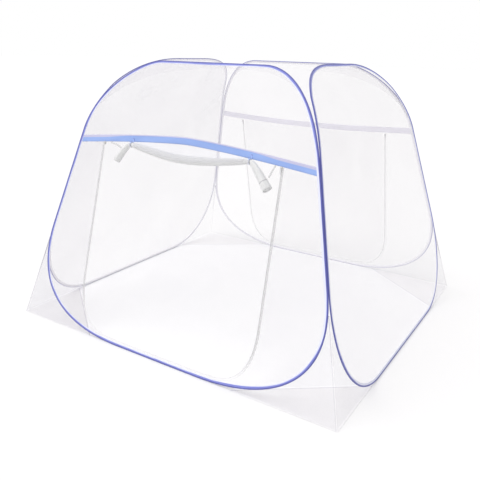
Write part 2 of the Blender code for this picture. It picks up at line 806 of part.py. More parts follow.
# The rolled door lies in front of the wall, fattest in the middle and drawn in at the ties
rolled = roll_path()
centres = [front.point(u, z, radius + net_thickness) for u, z, radius in rolled]
vertices = []
for i, (u, z, radius) in enumerate(rolled):
    ahead = centres[min(i + 1, len(rolled) - 1)] - centres[max(i - 1, 0)]
    outward = front.normal(z)
    away = ahead.cross(outward).normalized()
    outward = away.cross(ahead).normalized()
    vertices += [centres[i] + away * b + outward * n for b, n in round_section(radius, roll_sides)]
faces = []
for i in range(len(rolled) - 1):
    for j in range(roll_sides):
        a, b = i * roll_sides + j, i * roll_sides + (j + 1) % roll_sides
        faces.append((a, a + roll_sides, b + roll_sides, b))
faces.append(tuple(range(roll_sides)))
faces.append(tuple(range((len(rolled) - 1) * roll_sides, len(rolled) * roll_sides)))
add_object("front_door_roll", vertices, faces, rolled_net, smooth_angle=50)


def tie(name, wall, u, line, width):
    """A woven strip of the given width, bent along a line of (z, out) points."""
    vertices = []
    lifted = [wall.point(u, z, out) for z, out in line]
    sideways = wall.turn @ Vector((1.0, 0.0, 0.0))
    for i, place in enumerate(lifted):
        ahead = lifted[min(i + 1, len(lifted) - 1)] - lifted[max(i - 1, 0)]
        across_tie = ahead.cross(sideways).normalized() * (tie_thickness / 2)
        edge = sideways * (width / 2)
        vertices += [place - edge - across_tie, place + edge - across_tie,
                     place + edge + across_tie, place - edge + across_tie]
    faces = [(0, 1, 2, 3), tuple(range(4 * len(lifted) - 4, 4 * len(lifted)))]
    for i in range(len(lifted) - 1):
        for j in range(4):
            a, b = 4 * i + j, 4 * i + (j + 1) % 4
            faces.append((a, a + 4, b + 4, b))
    add_object(name, vertices, faces, blue_tape)


# Two ties, sewn to the front band, loop round the roll, and a toggle closes each loop
loop_radius = roll_pinch_radius + tie_thickness / 2 + tie_slack
tie_out = cloth_thickness / 2 + seam_gap + tie_thickness / 2
roll_out = roll_pinch_radius + net_thickness
for side, side_name in ((-1, "left"), (1, "right")):
    tie_height = band_foot(front, tie_half) - roll_tie_drop
    line = [(tie_height + roll_tie_drop + band_width / 2, tie_out), (tie_height + roll_tie_drop, tie_out)]
    for step in range(tie_steps + 1):
        angle = math.radians(100 - 345 * step / tie_steps)
        line.append((tie_height + loop_radius * math.sin(angle), roll_out + loop_radius * math.cos(angle)))
    tie("front_" + side_name + "_tie", front, side * tie_half, line, tie_width)
    toggle_out = roll_out + loop_radius + tie_thickness / 2 + seam_gap
    toggle_out += hexagon_flat_share * toggle_radius
    centre = front.point(side * tie_half, tie_height, toggle_out)
    outward = front.normal(0.0)
    sideways = front.turn @ Vector((1.0, 0.0, 0.0))
    upward = outward.cross(sideways)
    vertices = []
    for end in (-toggle_length / 2, toggle_length / 2):
        for i in range(wire_sides):
            angle = 2 * math.pi * (i + 0.5) / wire_sides
            ring = outward * math.cos(angle) + sideways * math.sin(angle)
            vertices.append(centre + upward * end + ring * toggle_radius)
    faces = [tuple(range(wire_sides)), tuple(range(wire_sides, 2 * wire_sides))]
    for i in range(wire_sides):
        j = (i + 1) % wire_sides
        faces.append((i, j, wire_sides + j, wire_sides + i))
    add_object("front_" + side_name + "_toggle", vertices, faces, white_tape, smooth_angle=65)

# Two more ties, unused, are folded flat on the rear band
for side, side_name in ((1, "left"), (-1, "right")):
    low = band_foot(back, rear_tie_half) + rear_tie_margin
    line = [(low, tie_out), (low + band_width - 2 * rear_tie_margin, tie_out)]
    tie("back_" + side_name + "_tie", back, side * rear_tie_half, line, tie_width)


def corner_hinge(x_side, y_side, low_inset, high_inset):
    """Two points on a corner's hinge line, at the ends of the seam, moved into the tent."""
    points = []
    for z, inset in ((join_low, low_inset), (join_high, high_inset)):
        x = half_width - lean_in(z, half_width) - inset / math.sqrt(2)
        y = half_depth - lean_in(z, half_depth) - inset / math.sqrt(2)
        points.append(Vector((x_side * x, y_side * y, z)))
    return points


def pivot(name, place, direction, parent=None):
    """An empty on a joint's axis, with its own Z along that axis."""
    empty = bpy.data.objects.new(name, None)
    empty.empty_display_size = ferrule_length
    bpy.context.scene.collection.objects.link(empty)
    turn = direction.to_track_quat("Z", "Y").to_matrix().to_4x4()
    empty.matrix_world = Matrix.Translation(place) @ turn
    if parent is not None:
        hang(empty, parent)
    return empty


def hang(child, parent):
    """Parent an object and leave it where it is."""
    place = child.matrix_world.copy()
    bpy.context.view_layer.update()
    child.parent = parent
    child.matrix_parent_inverse = parent.matrix_world.inverted()
    child.matrix_world = place


# Pivots. The left and right walls turn on the rear wall's sewn corners and the front wall
# on the left wall's. The left corner at the rear opens, and the other two close. The front
# wall is sewn to the right wall too, and that fourth corner is the one left open here
left_low, left_high = corner_hinge(-1, 1, opening_inset, opening_inset)
right_low, right_high = corner_hinge(1, 1, closing_low_inset, closing_high_inset)
front_low, front_high = corner_hinge(-1, -1, closing_low_inset, closing_high_inset)
left_pivot = pivot("left_wall_pivot", left_low, left_low - left_high)
right_pivot = pivot("right_wall_pivot", right_low, right_low - right_high)
front_pivot = pivot("front_wall_pivot", front_low, front_high - front_low, left_pivot)
door_axis = back.point(0.0, band_foot(back, zip_side_half))
door_pivot = pivot("back_door_pivot", door_axis, Vector((1.0, 0.0, 0.0)))
for thing in list(bpy.data.objects):
    if thing.type != "MESH":
        continue
    if thing.name.startswith("back_door"):
        hang(thing, door_pivot)
    elif thing.name.startswith("left_"):
        hang(thing, left_pivot)
    elif thing.name.startswith("right_"):
        hang(thing, right_pivot)
    elif thing.name.startswith("front_"):
        hang(thing, front_pivot)
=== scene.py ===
"""Pop-up mosquito net tent: indigo hoops, see-through net walls, a blue band and a rolled door."""
import math

import bmesh
import bpy
import numpy as np
from mathutils import Matrix, Vector


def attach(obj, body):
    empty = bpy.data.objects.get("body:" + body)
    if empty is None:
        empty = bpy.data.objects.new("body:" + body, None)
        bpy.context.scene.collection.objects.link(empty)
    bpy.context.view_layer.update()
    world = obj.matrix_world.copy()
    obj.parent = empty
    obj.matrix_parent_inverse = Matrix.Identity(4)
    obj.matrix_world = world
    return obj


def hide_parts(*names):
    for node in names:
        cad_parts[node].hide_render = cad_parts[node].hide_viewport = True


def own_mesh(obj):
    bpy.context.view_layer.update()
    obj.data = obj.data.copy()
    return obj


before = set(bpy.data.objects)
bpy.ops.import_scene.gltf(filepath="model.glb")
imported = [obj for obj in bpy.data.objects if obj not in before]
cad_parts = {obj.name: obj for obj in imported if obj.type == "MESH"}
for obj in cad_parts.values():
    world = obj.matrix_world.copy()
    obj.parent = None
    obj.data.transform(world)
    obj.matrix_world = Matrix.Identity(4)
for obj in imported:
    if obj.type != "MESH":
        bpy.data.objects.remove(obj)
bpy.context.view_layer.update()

# Camera. It stands in front of the tent and to its right, a little above the roof, and
# looks down 18.7 degrees; the image is taken as 480 by 480
IMAGE_SIZE, FOCAL_PIXELS, SENSOR = 480, 562.78, 36.0
CAMERA_PLACE = (1.6857, -2.8529, 1.5072)
camera_data = bpy.data.cameras.new("camera")
camera_data.lens = FOCAL_PIXELS * SENSOR / IMAGE_SIZE
camera_data.sensor_width = SENSOR
camera = bpy.data.objects.new("camera", camera_data)
yaw, pitch, roll = math.radians(-32.0529), math.radians(-18.6779), math.radians(1.5110)
forward = Vector((math.sin(yaw) * math.cos(pitch), math.cos(yaw) * math.cos(pitch), math.sin(pitch)))
level = Vector((math.cos(yaw), -math.sin(yaw), 0.0))
above = level.cross(forward)
image_right = level * math.cos(roll) + above * math.sin(roll)
image_up = above * math.cos(roll) - level * math.sin(roll)
camera.matrix_world = Matrix((image_right, image_up, -forward)).transposed().to_4x4()
camera.location = CAMERA_PLACE
bpy.context.scene.collection.objects.link(camera)
bpy.context.scene.camera = camera
bpy.context.scene.view_settings.view_transform = "Standard"


# Studio. A pale floor that shows as white and keeps a faint shadow, a white world, and a
# broad soft sun up on the left that lights every place alike
def join(socket, value):
    """Links a socket to another one, or sets its value; None leaves it as it is."""
    if isinstance(value, bpy.types.NodeSocket):
        socket.id_data.links.new(value, socket)
    elif value is not None:
        socket.default_value = value


def add(tree, kind, *inputs, **settings):
    """A node with these inputs, in order, and settings; returns its first output, if it has one."""
    node = tree.nodes.new(kind)
    for key, value in settings.items():
        setattr(node, key, value)
    for index, value in enumerate(inputs):
        join(node.inputs[index], value)
    return node.outputs[0] if len(node.outputs) else None


def maths(tree, operation, *inputs):
    """The output of a Math node."""
    return add(tree, "ShaderNodeMath", *inputs, operation=operation)


def times(tree, first, second):
    """The product of two values."""
    return maths(tree, "MULTIPLY", first, second)


WORLD_STRENGTH, FLOOR_GREY, FLOOR_GLOW = 0.78, 0.80, 0.06
FLOOR_REACH, FLOOR_DEPTH = 60, 0.0005
SUN_ENERGY, SUN_ANGLE, SUN_WAY = 1.70, 50, (0.50, 0.45, -1.0)
world = bpy.data.worlds.new("studio")
bpy.context.scene.world = world
world.use_nodes = True
tree = world.node_tree
tree.nodes.clear()
rays = add(tree, "ShaderNodeLightPath").node.outputs
seen = maths(tree, "MAXIMUM", rays["Is Camera Ray"], rays["Is Transmission Ray"])
seen = maths(tree, "MAXIMUM", seen, rays["Is Glossy Ray"])
plain = add(tree, "ShaderNodeBackground", (1.0, 0.985, 0.99, 1.0), WORLD_STRENGTH)
white = add(tree, "ShaderNodeBackground", (1.0, 1.0, 1.0, 1.0), 1.0)
add(tree, "ShaderNodeOutputWorld", add(tree, "ShaderNodeMixShader", seen, plain, white))

floor_mesh = bpy.data.meshes.new("studio_floor")
floor_corners = [(x * FLOOR_REACH, y * FLOOR_REACH, 0) for x, y in ((-1, -1), (1, -1), (1, 1), (-1, 1))]
floor_mesh.from_pydata(floor_corners, [], [(0, 1, 2, 3)])
studio_floor = bpy.data.objects.new("studio_floor", floor_mesh)
studio_floor.location.z = -FLOOR_DEPTH
bpy.context.scene.collection.objects.link(studio_floor)
floor_paint = bpy.data.materials.new("studio_floor")
floor_paint.use_nodes = True
tree = floor_paint.node_tree
tree.nodes.clear()
matt = add(tree, "ShaderNodeBsdfDiffuse", (FLOOR_GREY, FLOOR_GREY, FLOOR_GREY, 1.0))
lift = times(tree, add(tree, "ShaderNodeLightPath").node.outputs["Is Camera Ray"], FLOOR_GLOW)
glow = add(tree, "ShaderNodeEmission", None, lift)
add(tree, "ShaderNodeOutputMaterial", add(tree, "ShaderNodeAddShader", matt, glow))
floor_mesh.materials.append(floor_paint)

sun_data = bpy.data.lights.new("soft_sun", "SUN")
sun_data.energy = SUN_ENERGY
sun_data.angle = math.radians(SUN_ANGLE)
sun = bpy.data.objects.new("soft_sun", sun_data)
sun.rotation_euler = Vector(SUN_WAY).to_track_quat("-Z", "Y").to_euler()
bpy.context.scene.collection.objects.link(sun)

# Hoops. A sprung steel wire runs round each wall in a folded binding tape of indigo woven
# polyester, which also clasps the net's edge and is sewn through in two rows. Each wall
# leans in over its base and bows further in above the corners that are sewn together
BASE_X, BASE_Y = 1.0, 0.95
FRONT_TOP, SIDE_TOP = 1.441, 1.448
WALL_LEAN, TOP_BEND = 0.388, 0.127
SEAM_LOW, SEAM_HIGH = 0.541, 1.080
PARTING = 0.03  # least share of the height above the seam by which a hoop leaves the corner
TAPE_WIDTH, BEAD = 0.014, 0.0032
SEAM_GAP, WELD = 0.0003, 1e-6
CORNER_STEP = (2 * BEAD + SEAM_GAP) / math.sqrt(2)  # room for two tapes side by side
HOOP_FOOT = 0.0031  # height of the wire's middle at a hoop's foot
WIDE_CORNERS = (0.738, 0.906, 0.304, 0.690)  # the low corner's run and roundness, then the high one's
NARROW_CORNERS = (0.505, 0.727, 0.440, 1.161)
WALLS = {  # turn, half base, distance from the middle, top, and its corners
    "front": (0, BASE_X, BASE_Y, FRONT_TOP, *WIDE_CORNERS),
    "right": (90, BASE_Y, BASE_X, SIDE_TOP, *NARROW_CORNERS),
    "back": (180, BASE_X, BASE_Y, FRONT_TOP, *WIDE_CORNERS),
    "left": (270, BASE_Y, BASE_X, SIDE_TOP, *NARROW_CORNERS),
}


def lean(z, reach):
    """Distance in from the base at height z: reach (lean z / top + bend ((z - seam) / (top - seam))^2)."""
    bend = np.maximum(0.0, z - SEAM_HIGH) / (FRONT_TOP - SEAM_HIGH)
    return reach * (WALL_LEAN * z / FRONT_TOP + TOP_BEND * bend ** 2)


def wall_point(wall, u, z, out=0.0):
    """World points of a wall at u across it, z high and out along its normal (0, -1, slope)."""
    turn, stand = math.radians(WALLS[wall][0]), WALLS[wall][2]
    u, z, out = np.broadcast_arrays(*[np.asarray(values, float) for values in (u, z, out)])
    bend = np.maximum(0.0, z - SEAM_HIGH) / (FRONT_TOP - SEAM_HIGH) ** 2
    slope = stand * (WALL_LEAN / FRONT_TOP + 2 * TOP_BEND * bend)
    size = np.sqrt(1 + slope ** 2)
    y = lean(z, stand) - stand - out / size
    x, y = u * math.cos(turn) - y * math.sin(turn), u * math.sin(turn) + y * math.cos(turn)
    return np.stack([x, y, z + out * slope / size], -1)


def faced(wall, u, z, out=0.0):
    """World points of a wall, and its outward normal at each of them."""
    places = wall_point(wall, u, z, out)
    return places, wall_point(wall, u, z, out + 1.0) - places


def unit(vectors):
    """Vectors of length 1 that point the same way."""
    return vectors / np.linalg.norm(vectors, axis=-1, keepdims=True)


def run_along(line):
    """Distance of each point of a line from its start, along it."""
    return np.concatenate([[0.0], np.cumsum(np.linalg.norm(np.diff(line, axis=0), axis=1))])


def conic(start, control, end, weight=1.0, count=90):
    """Rational quadratic curve: ((1-t)^2 P + 2t(1-t)w C + t^2 Q) / sum of the weights."""
    t = np.linspace(0.0, 1.0, count)[:, None]
    a, b, c = (1 - t) ** 2, 2 * t * (1 - t) * weight, t ** 2
    return (a * np.array(start) + b * np.array(control) + c * np.array(end)) / (a + b + c)


def evenly(line, count):
    """A line of points resampled to count points, evenly along its length."""
    along = run_along(line)
    wanted = np.linspace(0.0, along[-1], count)
    return np.stack([np.interp(wanted, along, values) for values in line.T], -1)


def hoop_half(wall, count=240):
    """Right half of a hoop as (u, z): a conic lower corner, the straight seam, a conic top corner."""
    _, half, _, top, low_run, low_round, high_run, high_round = WALLS[wall]

    def edge(z):
        """u of the hoop at height z, where it follows the corner."""
        return half - lean(z, half) - CORNER_STEP

    foot = float(edge(HOOP_FOOT))
    lower = conic((foot - low_run, HOOP_FOOT), (foot, HOOP_FOOT), (edge(SEAM_LOW), SEAM_LOW), low_round)
    corner = edge(SEAM_HIGH) - half * WALL_LEAN / FRONT_TOP * (top - SEAM_HIGH)
    upper = conic((edge(SEAM_HIGH), SEAM_HIGH), (corner, top), (corner - high_run, top), high_round)
    upper[:, 0] = np.minimum(upper[:, 0], edge(upper[:, 1]) - PARTING * (upper[:, 1] - SEAM_HIGH))
    return evenly(np.concatenate([lower, upper]), count)


def mirrored(half):
    """The whole line whose right half is given, from its left end to its right one."""
    return np.concatenate([(half[1:] * (-1, 1))[::-1], half])


def moved(wall, line, distance):
    """A half line of (u, z) moved by distance, away from the net, within the wall's surface."""
    places, normal = faced(wall, line[:, 0], line[:, 1])
    places = places + unit(np.cross(np.gradient(places, axis=0), normal)) * distance
    turn = -math.radians(WALLS[wall][0])
    return np.stack([places[:, 0] * math.cos(turn) - places[:, 1] * math.sin(turn), places[:, 2]], -1)


def new_mesh(name, points, faces=None, uv=None, weld=False, **marks):
    """An object from points, quads, a UV per point in metres, and named values per point."""
    mesh = bpy.data.meshes.new(name)
    faces = np.asarray(grid_faces(*points.shape[:2]) if faces is None else faces, np.int32)
    points = np.asarray(points, np.float32).reshape(-1, 3)
    mesh.vertices.add(len(points))
    mesh.vertices.foreach_set("co", points.ravel())
    mesh.loops.add(faces.size)
    mesh.loops.foreach_set("vertex_index", faces.ravel())
    mesh.polygons.add(len(faces))
    mesh.polygons.foreach_set("loop_start", np.arange(0, faces.size, faces.shape[1], dtype=np.int32))
    mesh.update(calc_edges=True)
    if uv is not None:
        layer = mesh.uv_layers.new(name="UVMap")
        layer.data.foreach_set("uv", np.asarray(uv, np.float32).reshape(-1, 2)[faces.ravel()].ravel())
    for mark, values in marks.items():
        values = np.ascontiguousarray(np.ravel(values), np.float32)
        mesh.attributes.new(mark, "FLOAT", "POINT").data.foreach_set("value", values)
    if weld:  # points that meet become one, and a closed piece's faces are turned outward
        shell = bmesh.new()
        shell.from_mesh(mesh)
        bmesh.ops.remove_doubles(shell, verts=shell.verts, dist=WELD)
        if all(edge.is_manifold for edge in shell.edges):
            bmesh.ops.recalc_face_normals(shell, faces=shell.faces)
        shell.to_mesh(mesh)
        shell.free()
    mesh.shade_smooth()
    made = bpy.data.objects.new(name, mesh)
    bpy.context.scene.collection.objects.link(made)
    return made


def dress(piece, finish, body, slot, *nodes):
    """Gives a piece its finish and its body, and hides the CAD nodes that it stands for; slot is not used."""
    piece.data.materials.append(finish)
    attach(piece, body)
    if nodes:
        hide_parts(*nodes)


def grid_faces(rows, columns, wrap_rows=False, wrap_columns=False):
    """Quads of a grid of points stored row by row, closed on itself where asked."""
    i = np.arange(rows if wrap_rows else rows - 1)[:, None]
    j = np.arange(columns if wrap_columns else columns - 1)
    a, b = i * columns + j, i * columns + (j + 1) % columns
    c, d = (i + 1) % rows * columns + (j + 1) % columns, (i + 1) % rows * columns + j
    return np.stack([a, b, c, d], -1).reshape(-1, 4)


def capped(rings):
    """Rings of points with each end of the row drawn together on the middle of its ring."""
    first, last = [np.broadcast_to(rings[end].mean(0), (1, *rings.shape[1:])) for end in (0, -1)]
    return np.concatenate([first, rings, last])


def spread(along, around):
    """A grid of UVs from the distances along a piece and around it."""
    return np.stack(np.broadcast_arrays(along[:, None], np.atleast_2d(around)), -1)


def carried(name, wall, line, profile, closed, out=0.0):
    """A closed profile of (b, n) carried along a line of (u, z): b away from the net, n outward."""
    places, normal = faced(wall, line[:, 0], line[:, 1], out)
    ahead = np.roll(places, -1, 0) - np.roll(places, 1, 0) if closed else np.gradient(places, axis=0)
    away = unit(np.cross(ahead, normal))
    b, n = profile.T
    points = places[:, None] + away[:, None] * b[:, None] + normal[:, None] * n[:, None]
    uv = spread(run_along(places), run_along(profile))
    if not closed:
        points, uv = capped(points), np.concatenate([uv[:1], uv, uv[-1:]])
    b, n = [np.broadcast_to(side, points.shape[:2]) for side in (b, n)]
    faces = grid_faces(len(points), len(profile), closed, True)
    return new_mesh(name, points, faces, uv, True, across_tape=b, outward=n)


def feed(node, **values):
    """Links or sets a node's inputs by name."""
    for key, value in values.items():
        join(node.inputs[key.replace("_", " ")], value)


def shader(name, colour, roughness, **values):
    """A Principled material and its node tree; values are set on the shader's own sockets."""
    made = bpy.data.materials.new(name)
    made.use_nodes = True
    principled = made.node_tree.nodes["Principled BSDF"]
    feed(principled, Base_Color=(*colour, 1.0), Roughness=roughness, **values)
    return made, made.node_tree, principled


def repaint(finish, nodes):
    """Gives CAD nodes this finish."""
    for node in nodes:
        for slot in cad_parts[node].material_slots:
            slot.material = finish


def uv_of(tree):
    """The UV of a place: metres along a piece and around or across it."""
    return add(tree, "ShaderNodeUVMap", uv_map="UVMap")


def place_of(tree):
    """The place in the object's own frame; every object stands at the origin."""
    return tree.nodes.new("ShaderNodeTexCoord").outputs["Object"]


def mark_of(tree, name):
    """The value that a mesh carries under this name."""
    return add(tree, "ShaderNodeAttribute", attribute_name=name).node.outputs["Fac"]


def apart(tree, where):
    """The x, y and z of a place."""
    return add(tree, "ShaderNodeSeparateXYZ", where).node.outputs


def height_of(tree):
    """Height above the ground."""
    return apart(tree, place_of(tree))[2]


def blended(tree, share, first, second):
    """Colour from first to second as share goes from 0 to 1."""
    node = add(tree, "ShaderNodeMix", share, data_type="RGBA").node
    colours = [socket for socket in node.inputs if socket.type == "RGBA"]
    for socket, value in zip(colours, (first, second)):
        join(socket, (*value, 1.0) if isinstance(value, tuple) else value)
    return [socket for socket in node.outputs if socket.type == "RGBA"][0]


def ramp(tree, value, low, high, start=0.0, end=1.0):
    """Smooth step from start to end as value goes from low to high."""
    numbers = (low, high, start, end)
    return add(tree, "ShaderNodeMapRange", value, *numbers, interpolation_type="SMOOTHSTEP")


def noise(tree, where, scale, detail=2.0, distortion=0.0):
    """Soft noise, about 0.5 on average."""
    node = tree.nodes.new("ShaderNodeTexNoise")
    feed(node, Vector=where, Scale=scale, Detail=detail, Distortion=distortion)
    return node.outputs[0]


def raised(tree, principled, height, distance, strength=0.5):
    """Raises the surface by height times distance."""
    node = tree.nodes.new("ShaderNodeBump")
    feed(node, Strength=strength, Distance=distance, Height=height)
    feed(principled, Normal=node.outputs["Normal"])


def weave(tree, where, warp, weft):
    """Plain weave: the product of two sines, one per thread pitch in metres."""
    x, y = [maths(tree, "SINE", times(tree, value, 2 * math.pi / pitch))
            for value, pitch in zip(apart(tree, where), (warp, weft))]
    return times(tree, x, y)


def stitches(tree, along, across, lines, pitch, half_width=0.0005, gap=-0.4):
    """Dashes of thread along each of the given lines across the cloth."""
    rows = None
    for line in lines:
        row = maths(tree, "COMPARE", across, line, half_width)
        rows = row if rows is None else maths(tree, "MAXIMUM", rows, row)
    wave = maths(tree, "SINE", times(tree, along, 2 * math.pi / pitch))
    return times(tree, rows, maths(tree, "GREATER_THAN", wave, gap))


binding_tape, tree, principled = shader("binding_tape", (0.1, 0.11, 0.44), 0.7,
                                        Sheen_Weight=0.3, Sheen_Roughness=0.45)
uv = uv_of(tree)
b, n = mark_of(tree, "across_tape"), mark_of(tree, "outward")
threads = weave(tree, uv, 0.0011, 0.0009)
stitch = stitches(tree, apart(tree, uv)[0], b, (-0.0045, -0.0122), 0.0040)
tone = maths(tree, "MULTIPLY_ADD", threads, 0.10, noise(tree, uv, 7.0, 3.0))
bead = blended(tree, tone, (0.070, 0.075, 0.320), (0.125, 0.140, 0.460))
flange = blended(tree, tone, (0.150, 0.165, 0.540), (0.270, 0.310, 0.740))
# the pale trim turns in along the front right seam, where two tapes meet. Over the front right of the tent,
# from about 0.3 m up to the high corner and also low down at its right edge, the flange is painted pale
# nearly all across: partly the trim and partly a painted highlight for the sheen on the right hoop's tape
x, y, z = apart(tree, place_of(tree))
turned = times(tree, ramp(tree, z, 0.15, 0.45), ramp(tree, z, 1.08, 1.22, 1.0, 0.0))
turned = times(tree, turned, ramp(tree, maths(tree, "SUBTRACT", x, y), 1.0, 1.3))
turned = maths(tree, "MAXIMUM", turned, ramp(tree, x, 0.950, 0.985))
wander = ramp(tree, noise(tree, uv, 3.1), 0.35, 0.65, 0.0002, 0.0046)
from_fold = maths(tree, "ADD", b, maths(tree, "MULTIPLY_ADD", turned, -0.0058, wander))
flange = blended(tree, ramp(tree, from_fold, -0.0088, -0.0070), (0.78, 0.80, 0.93), flange)
outside = blended(tree, ramp(tree, b, -0.0050, -0.0028), flange, bead)
lining = blended(tree, ramp(tree, b, -0.0036, -0.0018), (0.90, 0.895, 0.92), (0.66, 0.65, 0.75))
inner = ramp(tree, n, -0.0006, 0.0002, 1.0, 0.0)
inner = times(tree, inner, ramp(tree, b, 0.0014, 0.0024, 1.0, 0.0))
both_sides = blended(tree, inner, outside, lining)
shown = times(tree, stitch, maths(tree, "SUBTRACT", 0.5, times(tree, inner, 0.4)))
feed(principled, Base_Color=blended(tree, shown, both_sides, (0.36, 0.39, 0.78)))
raised(tree, principled, maths(tree, "ADD", threads, stitch), 0.0003, 0.4)

# the tape's section: flat over the net's edge and round over the wire; its inner half mirrors this one
outer_half = np.array([(-0.0140, 0.00085), (-0.0136, 0.00112), (-0.0110, 0.00124), (-0.0070, 0.00135),
                       (-0.0045, 0.00165), (-0.0028, 0.00235), (-0.0012, 0.00298), (0.0003, 0.00320),
                       (0.0017, 0.00272), (0.0027, 0.00160)])
tape_profile = np.concatenate([[(-0.0143, 0.0)], outer_half, [(BEAD, 0.0)], (outer_half * (1, -1))[::-1]])
for wall in WALLS:
    half = evenly(np.concatenate([[(0.0, HOOP_FOOT)], hoop_half(wall), [(0.0, WALLS[wall][3])]]), 420)
    line = np.concatenate([half[1:], (half[1:-1] * (-1, 1))[::-1], half[:1]])
    binding = carried(wall + "_binding", wall, line, tape_profile, True)
    dress(binding, binding_tape, wall + "_wall", "blue_tape", wall + "_hoop_tape")

wire_steel, tree, principled = shader("wire_steel", (0.45, 0.46, 0.48), 0.35, Metallic=1.0)
where = place_of(tree)
feed(principled, Roughness=ramp(tree, noise(tree, where, 180.0, 4.0), 0.3, 0.7, 0.26, 0.46))
raised(tree, principled, noise(tree, where, 900.0), 0.00004)
repaint(wire_steel, [wall + part for wall in WALLS for part in ("_hoop_wire", "_hoop_ferrule")])

# Wall nets. White knitted polyester net with small six-sided holes, cut to each hoop and
# sewn into its binding. The walls beside a door end at the zip, and above it at the band
NET_EDGE, NET_PITCH = -0.0025, 0.0016
BAND_WIDTH = 0.036
BANDS = {  # height of a band's ends, rise of its middle, and the power of its arch
    "front": (FRONT_TOP - 0.417, 0.056, 1.4),
    "back": (FRONT_TOP - 0.381, -0.024, 2.0),
}
ZIP_TOP, ZIP_SIDE, ZIP_FOOT, ZIP_CORNER = 0.535, 0.550, 0.360, 0.300
ZIP_PARTING, COIL_WIDTH, ZIP_TAPE = 0.0009, 0.0025, 0.011
ZIP_HALF = ZIP_PARTING + COIL_WIDTH + SEAM_GAP + ZIP_TAPE
NET_LINES = {wall: moved(wall, hoop_half(wall), NET_EDGE) for wall in WALLS}


def half_at(line, z):
    """Half width of a half line at height z."""
    return np.interp(z, np.maximum.accumulate(line[:, 1]), line[:, 0])


def band_middle(wall, u):
    """Height of a band's middle at u: its end height plus rise (1 - |u / half|^power)."""
    end_height, rise, power = BANDS[wall]
    half = half_at(NET_LINES[wall], end_height)
    return end_height + rise * (1 - np.abs(np.asarray(u) / half) ** power)


def band_foot(wall, u):
    """Height of a band's lower edge at u."""
    return band_middle(wall, u) - BAND_WIDTH / 2 - SEAM_GAP


def zip_half(wall):
    """Right half of a zip: along the hoop's foot, a round corner, and up to the band."""
    foot = moved(wall, hoop_half(wall), -(TAPE_WIDTH + SEAM_GAP + ZIP_HALF))
    foot = foot[(foot[:, 1] < SEAM_LOW / 2) & (foot[:, 0] < ZIP_SIDE)]
    low = foot[foot[:, 0] < ZIP_FOOT]
    start = (ZIP_FOOT, float(np.interp(ZIP_FOOT, foot[:, 0], foot[:, 1])))
    rise = (start[1] - low[-1, 1]) / (start[0] - low[-1, 0])
    corner = (ZIP_SIDE, start[1] + rise * (ZIP_SIDE - start[0]))
    side = conic(start, corner, (ZIP_SIDE, ZIP_CORNER), count=40)
    top = min(band_foot(wall, ZIP_TOP + reach) for reach in (-ZIP_HALF, ZIP_HALF)) - ZIP_PARTING
    return evenly(np.concatenate([[(0.0, low[0, 1])], low, side, [(ZIP_TOP, float(top))]]), 150)


def creases(u, z, seed, height):
    """Shallow crossing folds: the sum of four slanted sines whose lines bend a little."""
    r = np.random.default_rng(seed)
    total = 0.0
    for _ in range(4):
        turn, pitch, phase = r.uniform(0, math.pi), r.uniform(0.16, 0.42), r.uniform(0, 6.28)
        bent = u * math.cos(turn) + z * math.sin(turn) + 0.03 * np.sin(5 * u + 7 * z + phase)
        total = total + np.sin(2 * math.pi * bent / pitch + phase) / 4
    return total * height


def fading(rows, columns):
    """1 over most of a grid, and 0 at its four edges: (1 - s^4)(1 - t^4)."""
    s, t = np.linspace(-1, 1, columns), np.linspace(-1, 1, rows)[:, None]
    return (1 - s ** 4) * (1 - t ** 4)


def area_of(points):
    """Area of a grid of points, from the cross product of each quad's diagonals."""
    a, b = points[1:, 1:] - points[:-1, :-1], points[1:, :-1] - points[:-1, 1:]
    return float(np.linalg.norm(np.cross(a, b), axis=-1).sum() / 2)


def net_cloth(name, cover, thread):
    """Net: alpha where three crossing cosines, one per direction of the holes, add up low."""
    made, tree, principled = shader(name, thread, 0.75, Sheen_Weight=0.1, Sheen_Roughness=0.5)
    uv = uv_of(tree)
    x, y, _ = apart(tree, uv)
    total = None
    for turn in (0.0, math.pi / 3, 2 * math.pi / 3):
        way = times(tree, x, math.cos(turn) * 2 * math.pi / NET_PITCH)
        way = maths(tree, "MULTIPLY_ADD", y, math.sin(turn) * 2 * math.pi / NET_PITCH, way)
        wave = maths(tree, "COSINE", way)
        total = wave if total is None else maths(tree, "ADD", total, wave)
    threads = ramp(tree, total, -1.3, 0.9, 1.0, 0.0)
    cloud = ramp(tree, noise(tree, uv, 2.2, 3.0, 0.6), 0.3, 0.7, 0.86, 1.16)
    cloud = times(tree, cloud, ramp(tree, y, 0.0, 1.2, 0.72, 1.12))
    thickness = maths(tree, "MULTIPLY_ADD", threads, cover * 1.5, cover * 0.25)
    darker = tuple(0.9 * value for value in thread)
    feed(principled, Alpha=times(tree, thickness, cloud),
         Base_Color=blended(tree, threads, darker, thread))
    return made, tree, principled


def hang_cloth(name, wall, u, z, folds, finish, node, body=None):
    """A net in a wall from grids of u and z; its folds (seed, height) fade out at its four edges."""
    points = wall_point(wall, u, z, creases(u, z, *folds) * fading(*u.shape))
    net = new_mesh(name, points, uv=np.stack([u, z], -1))
    dress(net, finish, body or wall + "_wall", "net", node)


wall_net = net_cloth("wall_net", 0.140, (0.53, 0.50, 0.56))[0]
taut_net = net_cloth("taut_net", 0.092, (0.56, 0.54, 0.59))[0]
loose_net = net_cloth("loose_net", 0.175, (0.52, 0.50, 0.57))[0]
for wall, seed, finish in (("right", 3, taut_net), ("left", 4, loose_net)):
    line = evenly(NET_LINES[wall], 150)
    s = np.linspace(-1, 1, 91)
    u, z = line[:, :1] * s, line[:, 1:] + 0 * s
    hang_cloth(wall + "_side_net", wall, u, z, (seed, 0.0045), finish, wall + "_net")

